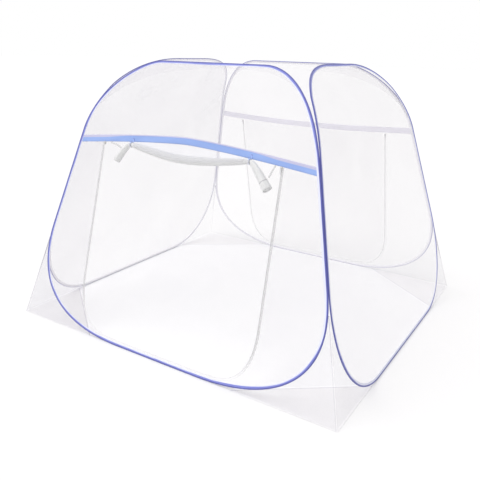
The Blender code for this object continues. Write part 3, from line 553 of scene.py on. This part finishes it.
for wall, seed in (("front", 5), ("back", 6)):
    line = NET_LINES[wall]
    low_edge = BANDS[wall][0] + BAND_WIDTH / 2 + SEAM_GAP
    heights = low_edge + (line[-1, 1] - low_edge) * np.sin(np.linspace(0, math.pi / 2, 80))
    halves = half_at(line, heights)
    halves[-1] = line[-1, 0]
    s = np.linspace(-1, 1, 121)
    fade = (heights[-1] - heights)[:, None] / (heights[-1] - heights[0])
    hump = band_middle(wall, s * halves[0]) - band_middle(wall, halves[0])
    hang_cloth(wall + "_high_net", wall, halves[:, None] * s, heights[:, None] + hump * fade, (seed, 0.004),
               taut_net, wall + "_upper_net")

for wall in BANDS:
    outer = moved(wall, zip_half(wall), ZIP_HALF + SEAM_GAP)
    line = NET_LINES[wall]
    room = half_at(line, outer[:, 1]) - outer[:, 0]
    first = outer[room > ZIP_TAPE][0, 1]
    end_height = float(band_foot(wall, half_at(line, float(band_foot(wall, ZIP_SIDE)))))
    heights = first + (end_height - first) * np.linspace(0, 1, 110) ** 1.6
    near, far = half_at(outer, heights), half_at(line, heights)
    u = near[:, None] + (far - near)[:, None] * np.linspace(0, 1, 25)
    lift = ((heights - first) / (end_height - first))[:, None] ** 6
    z = heights[:, None] + (band_foot(wall, u) - end_height) * lift
    for sign, seed in ((-1, 7), (1, 8)):
        side = "left" if (sign < 0) == (wall == "front") else "right"
        flip = slice(None, None, sign)
        finish = wall_net if side == "left" and wall == "front" else taut_net
        hang_cloth(wall + "_" + side + "_low_net", wall, sign * u[:, flip], z[:, flip], (seed, 0.003),
                   finish, wall + "_" + side + "_net")

# Bands. A cornflower blue woven ribbon runs across the front and the rear wall and carries
# the door's top. A lilac hem lies along its upper edge, wider near the ends, and its
# reverse is pale
RIBBON_HALF, RIBBON_ARCH = 0.0004, 1.01  # half its thickness, and its length over its span
ribbon, tree, principled = shader("ribbon", (0.3, 0.42, 0.8), 0.62, Sheen_Weight=0.35, Sheen_Roughness=0.4)
uv = uv_of(tree)
along, height, _ = apart(tree, uv)
threads = weave(tree, uv, 0.0009, 0.0012)
tone = maths(tree, "MULTIPLY_ADD", threads, 0.08, noise(tree, uv, 4.0, 3.0, 0.4))
blue = blended(tree, tone, (0.230, 0.340, 0.700), (0.335, 0.480, 0.850))
widened = ramp(tree, maths(tree, "ABSOLUTE", along), 0.36, 0.54, 0.0, 0.0070)
on_hem = ramp(tree, maths(tree, "ADD", height, widened), 0.0295, 0.0312)
hem = blended(tree, on_hem, blue, (0.55, 0.54, 0.71))
stitch = stitches(tree, along, height, (0.0285, 0.0030), 0.0036)
sewn = blended(tree, times(tree, stitch, 0.7), hem, (0.17, 0.22, 0.60))
reverse = ramp(tree, mark_of(tree, "outward"), -0.2, 0.2, 1.0, 0.0)
feed(principled, Base_Color=blended(tree, reverse, sewn, (0.84, 0.825, 0.89)))
raised(tree, principled, maths(tree, "MULTIPLY_ADD", stitch, -1.5, threads), 0.0002, 0.4)
for wall in BANDS:
    rows, columns = 11, 161
    share = np.linspace(-1, 1, columns)
    rise = np.linspace(-BAND_WIDTH / 2, BAND_WIDTH / 2, rows)[:, None]
    u = half_at(NET_LINES[wall], BANDS[wall][0] + rise) * share
    z = band_middle(wall, u) + rise
    belly = 0.0016 * (1 - share ** 8) * np.sin(13 * u + 2.0) * np.cos(70 * rise) + 0.0005 * np.sin(47 * u)
    layers = [wall_point(wall, u, z, belly + side * RIBBON_HALF) for side in (1, -1)]
    uv_grid = np.stack(np.broadcast_arrays(u, rise + BAND_WIDTH / 2), -1)
    outer_faces, behind = grid_faces(rows, columns), rows * columns
    number = np.arange(behind).reshape(rows, columns)  # the rim's points, once round from the first one
    rim = np.concatenate([number[0], number[1:, -1], number[-1, -2::-1], number[-2:0:-1, 0]])
    rim_faces = np.stack([np.roll(rim, -1), rim, rim + behind, np.roll(rim, -1) + behind], -1)
    faces = np.concatenate([outer_faces, outer_faces[:, ::-1] + behind, rim_faces])
    outward = np.repeat([1.0, -1.0], behind)
    band = new_mesh(wall + "_ribbon", layers, faces, [uv_grid, uv_grid], outward=outward)
    dress(band, ribbon, wall + "_wall", "blue_band", wall + "_band")

# Door zips. A fine nylon coil on a pale grey woven tape follows each door from the band down
# its sides and round above the hoop's foot, paler the lower it is. The front door's own half
# is rolled up with it
COIL_PITCH, COIL_HALF = 0.0014, 0.0012
zip_cloth, tree, principled = shader("zip_cloth", (0.6, 0.6, 0.62), 0.75, Sheen_Weight=0.15)
uv = uv_of(tree)
threads = weave(tree, uv, 0.0008, 0.0010)
across_tape = maths(tree, "ABSOLUTE", mark_of(tree, "across_tape"))
stitch = stitches(tree, apart(tree, uv)[0], across_tape, (0.0125,), 0.0030)
tone = maths(tree, "MULTIPLY_ADD", threads, 0.15, noise(tree, uv, 12.0, 3.0))
grey = blended(tree, tone, (0.44, 0.44, 0.455), (0.55, 0.55, 0.56))
reverse = ramp(tree, mark_of(tree, "outward"), -0.00012, 0.00012, 1.0, 0.0)
grey = blended(tree, reverse, grey, (0.95, 0.95, 0.95))
fade = ramp(tree, height_of(tree), 0.04, 0.24, 0.06, 0.45)
sewn = blended(tree, times(tree, stitch, 0.6), grey, (0.40, 0.40, 0.43))
feed(principled, Alpha=fade, Base_Color=sewn)
raised(tree, principled, threads, 0.0002, 0.4)


def variant(material, name, ramped, **values):
    """A copy of a material with other values on the ramp that gives ramped."""
    made = material.copy()
    made.name = name
    feed(made.node_tree.nodes[ramped.node.name], **values)
    return made


fine_zip_cloth = variant(zip_cloth, "fine_zip_cloth", fade, To_Min=0.03, To_Max=0.09)

zip_nylon, tree, principled = shader("zip_nylon", (0.66, 0.66, 0.69), 0.38, Specular_IOR_Level=0.55)
along, around, _ = apart(tree, uv_of(tree))
slant = maths(tree, "MULTIPLY_ADD", around, 0.35, along)
turns = ramp(tree, maths(tree, "SINE", times(tree, slant, 2 * math.pi / COIL_PITCH)), -0.9, 0.1)
turned = blended(tree, turns, (0.55, 0.55, 0.57), (0.82, 0.82, 0.83))
low = ramp(tree, height_of(tree), 0.04, 0.24, 0.8, 0.0)
feed(principled, Base_Color=blended(tree, low, turned, (0.90, 0.90, 0.91)))
raised(tree, principled, turns, 0.0004, 0.8)
white_nylon = variant(zip_nylon, "white_nylon", low, To_Max=0.7)


def zip_parts(side):
    """Coil and tape on one side (1 wall, -1 door) of a zip's line: section, two finishes and slot."""
    turn = np.linspace(0, 2 * math.pi, 13)[:-1]
    middle = ZIP_PARTING + COIL_WIDTH / 2
    coil = np.stack([middle + COIL_WIDTH / 2 * np.cos(turn), COIL_HALF * np.sin(turn)], -1)
    low, high = ZIP_PARTING + COIL_WIDTH + 0.0001, ZIP_HALF
    tape = np.array([(low, 0.0003), (low + 0.003, 0.00034), (high - 0.001, 0.00030), (high, 0.0),
                     (high - 0.001, -0.0003), (low + 0.003, -0.00034), (low, -0.0003)])
    return (("coil", coil * (side, 1), zip_nylon, white_nylon, "zip_coil"),
            ("tape", tape * (side, 1), zip_cloth, fine_zip_cloth, "zip_tape"))


for wall in BANDS:
    for part, profile, front_finish, back_finish, slot in zip_parts(1):
        piece = carried(wall + "_zip_wall_" + part, wall, mirrored(zip_half(wall)), profile, False)
        finish = front_finish if wall == "front" else back_finish
        dress(piece, finish, wall + "_wall", slot, wall + "_zip_" + part)

# Rear door. A net panel hangs from the rear band and is zipped shut down both sides and
# along its foot; the zip's door half ends just below the sliders, parked at the top
SLIDER_LENGTH, SLIDER_GAP, DOOR_ROOM = 0.016, 0.003, 0.003
half = zip_half("back")
slider_foot = half[-1, 1] - 2 * (SLIDER_GAP + SLIDER_LENGTH / 2) - SLIDER_GAP
share = (slider_foot - ZIP_CORNER) / (half[-1, 1] - ZIP_CORNER)
door_end = (ZIP_SIDE + (ZIP_TOP - ZIP_SIDE) * share, slider_foot)
door_half = evenly(np.concatenate([half[half[:, 1] < slider_foot], [door_end]]), 150)
for part, profile, _, finish, slot in zip_parts(-1):
    piece = carried("back_door_" + part, "back", mirrored(door_half), profile, False)
    dress(piece, finish, "back_door", slot, "back_door_zip_" + part)
inner = moved("back", half, -(ZIP_HALF + SEAM_GAP))
line = evenly(inner[1:], 130)
door_top = float(band_foot("back", ZIP_TOP)) - DOOR_ROOM
line[-1] = (float(half_at(inner, door_top)), door_top)
u, heights = line[:, :1] * np.linspace(-1, 1, 91), line[:, 1:]
lift = ((heights - line[0, 1]) / (door_top - line[0, 1])) ** 6
z = heights + (band_foot("back", u) - DOOR_ROOM - door_top) * lift
hang_cloth("back_door_panel", "back", u, z, (11, 0.005), wall_net, "back_door_net",
           "back_door")

# Corner gussets. Below the round corners of the hoops a net triangle closes each wall down
# to the floor's corner; its outer edge is turned in and sewn. The two at the front left are
# slack and look closer
GUSSET_LOW, GUSSET_INSET = 0.0009, 0.003
GUSSET_SLANT, GUSSET_FILL = 1.05, 0.32  # length over height, and least share of its flat size filled
gusset_nets = []
for name, closeness in (("gusset_net", 0.145), ("slack_gusset_net", 0.23)):
    finish, tree, principled = net_cloth(name, closeness, (0.58, 0.57, 0.63))
    edge = ramp(tree, mark_of(tree, "from_seam"), 0.0045, 0.0065, 1.0, 0.0)
    edge = times(tree, edge, ramp(tree, height_of(tree), 0.18, 0.32, 0.12, 0.50))
    alpha = principled.inputs["Alpha"].links[0].from_socket
    feed(principled, Alpha=maths(tree, "ADD", alpha, edge))
    gusset_nets.append(finish)
CORNERS = {"front": ("front_left", "front_right"), "right": ("right_front", "right_back"),
           "back": ("back_right", "back_left"), "left": ("left_back", "left_front")}
for wall, seed in (("front", 25), ("right", 25), ("back", 24), ("left", 24)):
    line = moved(wall, hoop_half(wall), BEAD + SEAM_GAP)
    half_base = WALLS[wall][1]
    heights = GUSSET_LOW + (SEAM_LOW - GUSSET_LOW) * np.linspace(0, 1, 90) ** 1.8
    seam = half_base - lean(heights, half_base) - GUSSET_INSET
    hoop = half_at(line, heights)
    keep = seam - hoop > GUSSET_INSET
    heights, seam, hoop = heights[keep], seam[keep], hoop[keep]
    share = np.linspace(0, 1, 25)
    u = hoop[:, None] + (seam - hoop)[:, None] * share
    z = heights[:, None] + 0 * share
    upright = np.sin(math.pi * np.linspace(0, 1, len(heights)))[:, None] ** 0.5
    dip = creases(u, z, seed, 0.002) - 0.006 * upright
    dip = dip * np.sin(math.pi * share) * np.minimum(1, z / 0.02)
    area, length = area_of(wall_point(wall, u, z)), float(np.ptp(z)) * GUSSET_SLANT
    width = min(float((seam - hoop).max()), area / (GUSSET_FILL * length))
    for sign, name in zip((-1, 1), CORNERS[wall]):
        flip = slice(None, None, sign)
        points = wall_point(wall, sign * u[:, flip], z, dip[:, flip])
        gusset = new_mesh(name + "_corner_net", points, uv=np.stack([u[:, flip], z], -1),
                          from_seam=(seam[:, None] - u)[:, flip])
        finish = gusset_nets[name in ("front_left", "left_front")]
        dress(gusset, finish, wall + "_wall", "net", name + "_gusset")

# Floor. A thin white fabric sheet with cut corners, and a doubled triangle sewn to each of
# them. It lies nearly flat, with the creases that it was packed in
FLOOR_LIFT, FLOOR_RIDGE, FLOOR_CREASE, FLOOR_KEEP = 0.0006, 0.0030, 0.0010, 0.12
FOLD_X, FOLD_Y, STILL_EDGE = 0.47, 0.61, 0.125
FLOOR_STEP = math.cos(math.radians(30)) * BEAD + BEAD / 2 + SEAM_GAP  # the floor's edge lies this far in
PATCH_X, PATCH_Y, PATCH_SWELL = 0.545, 0.420, 0.0016


def floor_cloth(name, dark, pale, solid):
    """Thin fabric that lets the ground show through, with a hem that is more solid."""
    made, tree, principled = shader(name, pale, 0.7, Sheen_Weight=0.1)
    where = place_of(tree)
    threads = weave(tree, where, 0.0016, 0.0016)
    tone = maths(tree, "MULTIPLY_ADD", threads, 0.1, noise(tree, where, 3.0, 4.0, 0.8))
    seam = times(tree, maths(tree, "COMPARE", mark_of(tree, "from_join"), 0.0050, 0.0022), 0.8)
    hem = ramp(tree, mark_of(tree, "from_seam"), 0.007, 0.009, 0.15, 0.0)
    feed(principled, Base_Color=blended(tree, seam, blended(tree, tone, dark, pale), (0.55, 0.54, 0.60)),
         Alpha=maths(tree, "ADD", maths(tree, "MULTIPLY_ADD", threads, 0.06, solid), hem))
    crumple = noise(tree, where, 16.0, 5.0, 1.0)
    raised(tree, principled, maths(tree, "MULTIPLY_ADD", crumple, 6.0, threads), 0.0003, 0.5)
    return made


def ridge(value):
    """Sharp folds, one per unit of value: (1/2 + sin(2 pi value) / 2)^5."""
    return (0.5 + 0.5 * np.sin(2 * math.pi * value)) ** 5


floor_fabric = floor_cloth("floor_fabric", (0.93, 0.93, 0.945), (0.965, 0.965, 0.97), 0.92)
patch_fabric = floor_cloth("patch_fabric", (0.885, 0.88, 0.89), (0.94, 0.93, 0.94), 0.90)
slope = PATCH_Y / PATCH_X
half_x, half_y = BASE_X - FLOOR_STEP, BASE_Y - FLOOR_STEP
patch_gap = SEAM_GAP * math.hypot(1.0, slope)
cut_x = BASE_X - PATCH_X + FLOOR_STEP / slope - patch_gap / slope
cut_y = BASE_Y - PATCH_Y + FLOOR_STEP * slope - patch_gap
s, cuts = np.linspace(-1, 1, 181), [-cut_y / half_y, cut_y / half_y]
rows = np.sort(np.concatenate([s, cuts]))[:, None]
x, y = np.broadcast_arrays(s, half_y * rows)
x = x * (half_x - np.maximum(0.0, np.abs(y) - cut_y) * (half_x - cut_x) / (half_y - cut_y))
loose = np.clip((1 - np.abs(s)) / STILL_EDGE, 0, 1) * np.clip((1 - np.abs(rows)) / STILL_EDGE, 0, 1)
ridges = np.maximum(ridge(x / FOLD_X + 0.08 * np.sin(6 * y)), ridge(y / FOLD_Y + 0.1 * np.sin(5 * x)))
z = FLOOR_LIFT + loose * (FLOOR_RIDGE * ridges + FLOOR_CREASE * (1 + creases(x, y, 31, 1.0)))
diagonal = (half_x - np.abs(x)) * (half_y - cut_y) - (np.abs(y) - cut_y) * (half_x - cut_x)
diagonal = diagonal / math.hypot(half_x - cut_x, half_y - cut_y)
from_seam = np.minimum(diagonal, np.minimum(half_x - np.abs(x), half_y - np.abs(y)))
ground = new_mesh("ground_sheet", np.stack([x, y, z], -1), uv=np.stack([x, y], -1),
                  from_seam=from_seam, from_join=1.0 + from_seam)
dress(ground, floor_fabric, "back_wall", "floor_cloth", "floor_sheet")
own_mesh(ground)
for name, x_side, y_side in (("front_left", -1, -1), ("front_right", 1, -1),
                             ("back_right", 1, 1), ("back_left", -1, 1)):
    p, q = np.linspace(0, 1, 41)[:, None], np.linspace(0, 1, 31)
    x = x_side * (BASE_X - PATCH_X * (1 - p) + 0 * q)
    y = y_side * (BASE_Y - PATCH_Y * p * q)
    slanted = PATCH_Y * PATCH_X / math.hypot(PATCH_X, PATCH_Y) * p * (1 - q)
    from_seam = np.minimum(slanted, np.minimum(PATCH_Y * p * q, PATCH_X * (1 - p)))
    z = FLOOR_LIFT + PATCH_SWELL * np.minimum(1, from_seam / 0.05) * (1 + np.sin(38 * x + 21 * y)) / 2
    faces = grid_faces(*x.shape)
    faces = faces[:, ::-1] if x_side * y_side < 0 else faces
    patch = new_mesh("corner_patch_" + name, np.stack([x, y, z], -1), faces, np.stack([x, y], -1), True,
                     from_seam=from_seam, from_join=slanted)
    dress(patch, patch_fabric, "back_wall", "floor_cloth", "floor_corner_" + name)
    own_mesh(patch)

# Roof. One net is stretched between the four hoops' tops and sewn along them; at rest each
# of its points lies at the mean of its neighbours
ROOF_CORNER, ROOF_TURN, ROOF_GAP = SEAM_HIGH + 0.010, 0.10, 0.0006
ROOF_COUNT, ROOF_ROUNDS, ROOF_FOLD_Y, ROOF_KEEP = 101, 2500, 0.66, 0.12
ROOF_FILL = 0.9  # what its cut corners leave of a square


def roof_edge(wall):
    """Points along a hoop's top, from its right to its left corner, on the roof's side."""
    line = hoop_half(wall, 600)
    start = (float(half_at(line, ROOF_CORNER)), ROOF_CORNER)
    line = np.concatenate([[start], line[line[:, 1] > ROOF_CORNER], [(0.0, WALLS[wall][3])]])
    line = evenly(line, ROOF_COUNT // 2 + 1)
    line = np.concatenate([line, (line[:-1] * (-1, 1))[::-1]])
    places, normal = faced(wall, line[:, 0], line[:, 1])
    away = unit(np.cross(np.gradient(places, axis=0), normal))
    over = away * np.minimum(1.0, (line[:, 1:] - ROOF_CORNER) / ROOF_TURN) - normal
    return places + unit(over) * (BEAD + ROOF_GAP)


near, far = roof_edge("front")[::-1], roof_edge("back")
west, east = roof_edge("left"), roof_edge("right")[::-1]
share = np.linspace(0, 1, ROOF_COUNT)[:, None, None]
roof = (1 - share) * near + share * far
roof[1:-1, 0], roof[1:-1, -1] = west[1:-1], east[1:-1]
roof[0, 0], roof[0, -1] = (near[0] + west[0]) / 2, (near[-1] + east[0]) / 2
roof[-1, 0], roof[-1, -1] = (far[0] + west[-1]) / 2, (far[-1] + east[-1]) / 2
for _ in range(ROOF_ROUNDS):
    roof[1:-1, 1:-1] = (roof[:-2, 1:-1] + roof[2:, 1:-1] + roof[1:-1, :-2] + roof[1:-1, 2:]) / 4
roof_area = area_of(roof)
roof[..., 2] += creases(roof[..., 0], roof[..., 1], 41, 0.003) * fading(ROOF_COUNT, ROOF_COUNT)
cover = new_mesh("roof_sheet", roof, uv=roof[..., :2])
dress(cover, net_cloth("roof_cloth", 0.09, (0.62, 0.60, 0.66))[0], "back_wall", "net", "roof_net")
side = math.sqrt(roof_area / ROOF_FILL)
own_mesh(cover)

# Rolled door. The front door's net panel hangs from the band and is rolled up on itself in a
# swag, tied near both ends; the roll's ends hang out below the ties and flare
TIE_HALF, TIE_WIDTH, TIE_DROP, ROLL_SHIFT = 0.357, 0.010, 0.014, 0.020
ROLL, PINCH, ROLL_END, SAG, ROLL_GAP = 0.0225, 0.012, 0.026, 0.036, 0.0012
RING, GIRTH, SLACK_FULLNESS = 64, 0.11, 1.15
LAYERS = ((0.86, 0.0), (0.80, 1.6), (0.55, 1.8), (0.50, 0.4), (0.25, 0.6), (0.0, 0.8))
TIE_HEIGHT = float(band_foot("front", TIE_HALF)) - TIE_DROP


def tail(side, t, run, drop, power, end):
    """(u, z, radius) along a tail: it runs sideways with t, drops with t^power and flares with t^0.7."""
    u, z = side * (TIE_HALF + TIE_WIDTH + run * t), TIE_HEIGHT - drop * t ** power
    return np.stack([u, z, PINCH + (end - PINCH) * t ** 0.7], -1)


bow = np.linspace(0, 1, 121)
swag_u = (TIE_HALF - TIE_WIDTH) * (2 * bow - 1)
hang = np.sin(math.pi * bow)
arch = band_foot("front", swag_u) - band_foot("front", TIE_HALF - TIE_WIDTH)
swag_z = TIE_HEIGHT + arch - (arch + SAG) * hang ** 0.8
radius = PINCH + (ROLL - PINCH) * hang ** 0.5
left = tail(-1, np.linspace(1, 0, 30), run=0.066, drop=0.088, power=1.2, end=ROLL_END - 0.004)
right = tail(1, np.linspace(0, 1, 40), run=0.112, drop=0.108, power=1.15, end=ROLL_END)
path = np.concatenate([left, np.stack([swag_u, swag_z, radius], -1), right]) + (ROLL_SHIFT, 0, 0)
along = run_along(path[:, :2])
places, normal = faced("front", path[:, 0], path[:, 1], path[:, 2] + ROLL_GAP)
ahead = np.gradient(places, axis=0)
away = unit(np.cross(ahead, normal))
normal = unit(np.cross(away, ahead))
turn, a = np.linspace(0, 2 * math.pi, RING + 1)[:-1], along[:, None]
fold = 0.035 * np.sin(3 * turn + 9 * a) + 0.025 * np.sin(5 * turn - 14 * a + 1)
fold = fold + 0.02 * np.sin(9 * turn + 21 * a)
lap = 0.08 * (((turn / (2 * math.pi) + 0.9 * a) % 1.0) - 0.5)
reach = path[:, 2:] * (0.88 + fold + lap)
sideways, outward = [(reach * wave(turn))[..., None] for wave in (np.cos, np.sin)]
points = places[:, None] + away[:, None] * sideways + normal[:, None] * outward
ends = []
for end, inward in ((0, places[1] - places[0]), (-1, places[-2] - places[-1])):
    core = points[end].mean(0)  # the cloth's layers are seen at each end: share of the radius, and depth
    ends.append(np.stack([core + (points[end] - core) * share + inward * depth for share, depth in LAYERS]))
points = np.concatenate([ends[0][::-1], points, ends[1]])
along = np.pad(along, len(LAYERS), "edge")
faces = grid_faces(len(points), RING, False, True)
rolled = new_mesh("front_door_rolled", points, faces, spread(along, turn / (2 * math.pi) * GIRTH), True)
roll_cloth, tree, principled = shader("roll_cloth", (0.74, 0.75, 0.75), 0.8, Sheen_Weight=0.2)
uv = uv_of(tree)
threads = weave(tree, uv, 0.0015, 0.0015)
stretched = add(tree, "ShaderNodeVectorMath", uv, (9.0, 130.0, 1.0), operation="MULTIPLY")
layered = noise(tree, stretched, 1.0, 4.0, 0.6)
tone = maths(tree, "MULTIPLY_ADD", threads, 0.12, layered)
cross_hem = maths(tree, "COMPARE", apart(tree, uv)[0], float(along[-1]) - 0.040, 0.0025)
cloth = blended(tree, tone, (0.76, 0.765, 0.765), (0.91, 0.915, 0.915))
feed(principled, Base_Color=blended(tree, times(tree, cross_hem, 0.6), cloth, (0.42, 0.42, 0.44)))
raised(tree, principled, maths(tree, "MULTIPLY_ADD", layered, 5.0, threads), 0.0008, 0.6)
dress(rolled, roll_cloth, "front_wall", "rolled_net", "front_door_roll")

# the slack cloth between band and roll, and the hems that hang out of the roll's two ends
meet, t = math.radians(-15), np.linspace(0, 1, 41)[:, None]
u = swag_u[2:-2] + ROLL_SHIFT + 0 * t
girth, top, middle = radius[2:-2], band_foot("front", u), swag_z[2:-2]
turned = np.minimum(1, 2 * t) * (math.pi / 2 - meet) + meet  # round the roll from below its front to its top
wrapped = t <= 0.5
z = np.where(wrapped, middle + girth * np.sin(turned), middle + girth + (top - middle - girth) * (2 * t - 1))
pleats = 0.0009 * (1 + np.sin(150 * u + 9 * np.sin(6 * u) + 5 * t))
pleats = pleats * np.sin(math.pi * t) * (0.3 + 0.7 * np.abs(u / TIE_HALF) ** 2)
clear = girth + 0.0030
pleats = pleats + np.where(wrapped, clear + girth * np.cos(turned), clear * (2 - 2 * t) ** 1.5 + 0.0010)
slack = new_mesh("front_door_slack", wall_point("front", u, z, pleats), uv=np.stack([u, z], -1))
dress(slack, net_cloth("slack_net", 0.42, (0.74, 0.74, 0.77))[0], "front_wall", "rolled_net")
area, width = area_of(wall_point("front", u, z)), float(np.ptp(u))
hem_half = np.array([(-0.0045, 0.0), (-0.0035, 0.0006), (0.0, 0.0005), (0.0035, 0.0006)])
hem_profile = np.concatenate([hem_half, -hem_half])
for side, line in (("left", ((-0.488, 1.0235), (-0.428, 1.0200), (-0.384, 0.9860))),
                   ("right", ((0.508, 1.0270), (0.497, 1.0050), (0.483, 0.9700)))):
    line = evenly(conic(*line, count=30), 30)
    hem = carried("front_door_" + side + "_hem", "front", line, hem_profile, False, out=0.004)
    dress(hem, zip_cloth, "front_wall", "zip_tape")

# Ties. Two narrow ribbons are sewn to the band, loop round the roll, and are closed by a
# small pale toggle; on the rear band two more lie folded flat
STRAP, BACK_TIE, BACK_TIE_INSET = 0.0010, 0.365, 0.004
LOOP_START, LOOP_TURN = 100, 345  # degrees round the roll
TOGGLE_RADIUS, TOGGLE_LENGTH, TOGGLE_RING = 0.0035, 0.018, 20
tie_ribbon, tree, principled = shader("tie_ribbon", (0.5, 0.55, 0.85), 0.65, Sheen_Weight=0.3)
uv = uv_of(tree)
along = apart(tree, uv)[0]
threads = weave(tree, uv, 0.0008, 0.0010)
tone = maths(tree, "MULTIPLY_ADD", threads, 0.1, noise(tree, uv, 30.0))
blue = blended(tree, tone, (0.275, 0.385, 0.770), (0.36, 0.50, 0.88))
pale = blended(tree, tone, (0.66, 0.68, 0.78), (0.78, 0.80, 0.88))
strap_tone = blended(tree, ramp(tree, along, 0.040, 0.046, 1.0, 0.0), pale, blue)
bar = ramp(tree, along, 0.0025, 0.0035, 0.8, 0.0)
feed(principled, Base_Color=blended(tree, bar, strap_tone, (0.10, 0.12, 0.40)))
raised(tree, principled, threads, 0.0002, 0.4)


def add_tie(wall, side, u, line):
    """A flat strip across a wall at u, bent along a line of (z, out) points and closed all round."""
    places = wall_point(wall, u, line[:, 0], line[:, 1])
    sideways = wall_point(wall, 1.0, 0.0) - wall_point(wall, 0.0, 0.0)
    face = unit(np.cross(np.gradient(places, axis=0), sideways))
    e = np.array([-0.5, -0.44, 0.0, 0.44, 0.5, 0.44, 0.0, -0.44]) * TIE_WIDTH
    f = np.array([0.0, -0.5, -0.5, -0.5, 0.0, 0.5, 0.5, 0.5]) * STRAP
    points = capped(places[:, None] + sideways * e[:, None] + face[:, None] * f[:, None])
    uv_grid = spread(np.pad(run_along(places), 1, "edge"), e)
    faces = grid_faces(len(points), len(e), False, True)
    strap = new_mesh(wall + "_" + side + "_tie_strap", points, faces, uv_grid, True)
    dress(strap, tie_ribbon, wall + "_wall", "blue_tape", wall + "_" + side + "_tie")


toggle_plastic, tree, principled = shader("toggle_plastic", (0.78, 0.78, 0.80), 0.35)
where = place_of(tree)
mottle = blended(tree, noise(tree, where, 400.0, 3.0), (0.70, 0.70, 0.73), (0.82, 0.82, 0.84))
feed(principled, Base_Color=mottle, Roughness=ramp(tree, noise(tree, where, 900.0), 0.3, 0.7, 0.28, 0.46))
foot, tie_out, roll_out = TIE_HEIGHT + TIE_DROP, RIBBON_HALF + SEAM_GAP + STRAP / 2, PINCH + 0.0006
loop = PINCH + STRAP / 2 + ROLL_GAP
toggle_out = roll_out + loop + STRAP / 2 + SEAM_GAP + TOGGLE_RADIUS
for sign, side in ((-1, "left"), (1, "right")):
    middle = sign * TIE_HALF + ROLL_SHIFT
    turn = np.radians(LOOP_START - LOOP_TURN * np.linspace(0, 1, 60))
    ring = np.stack([TIE_HEIGHT + loop * np.sin(turn), roll_out + loop * np.cos(turn)], -1)
    sewn_end = [(foot + height, tie_out) for height in (BAND_WIDTH / 2, 0.01, 0.0)]
    add_tie("front", side, middle, np.concatenate([sewn_end, ring]))
    v, turn = np.linspace(0, 1, 17)[:, None], np.linspace(0, 2 * math.pi, TOGGLE_RING + 1)[:-1]
    waist = 1 - 0.22 * np.exp(-((v - 0.5) / 0.08) ** 2)
    girth = TOGGLE_RADIUS * np.minimum(1.0, 0.35 + 4.5 * np.minimum(v, 1 - v)) * waist
    barrel = capped(wall_point("front", middle + girth * np.cos(turn), TIE_HEIGHT + (v - 0.5) * TOGGLE_LENGTH,
                               toggle_out + girth * np.sin(turn)))
    faces = grid_faces(len(barrel), TOGGLE_RING, False, True)
    toggle = new_mesh("front_" + side + "_toggle_barrel", barrel, faces, None, True)
    dress(toggle, toggle_plastic, "front_wall", "toggle_plastic", "front_" + side + "_toggle")
t, low = np.linspace(0, 1, 30), float(band_foot("back", BACK_TIE)) + BACK_TIE_INSET
heights = low + (BAND_WIDTH - 2 * BACK_TIE_INSET) * (1 - t)
line = np.stack([heights, 0.0013 + 0.0006 * np.sin(math.pi * t) ** 2], -1)
for sign, side in ((1, "left"), (-1, "right")):
    add_tie("back", side, sign * BACK_TIE, line)

# Zip sliders and pull tabs. Nickel-plated castings, satin with fine wear
nickel, tree, principled = shader("nickel", (0.72, 0.72, 0.74), 0.3, Metallic=1.0)
where = place_of(tree)
wear = noise(tree, where, 350.0, 5.0, 0.5)
feed(principled, Base_Color=blended(tree, wear, (0.62, 0.61, 0.61), (0.80, 0.80, 0.82)),
     Roughness=ramp(tree, wear, 0.3, 0.7, 0.22, 0.44))
raised(tree, principled, noise(tree, where, 1400.0, 3.0), 0.00003, 0.4)
repaint(nickel, [wall + side + part for wall in ("front", "back") for side in ("_left", "_right")
                 for part in ("_zip_slider", "_zip_pull")])
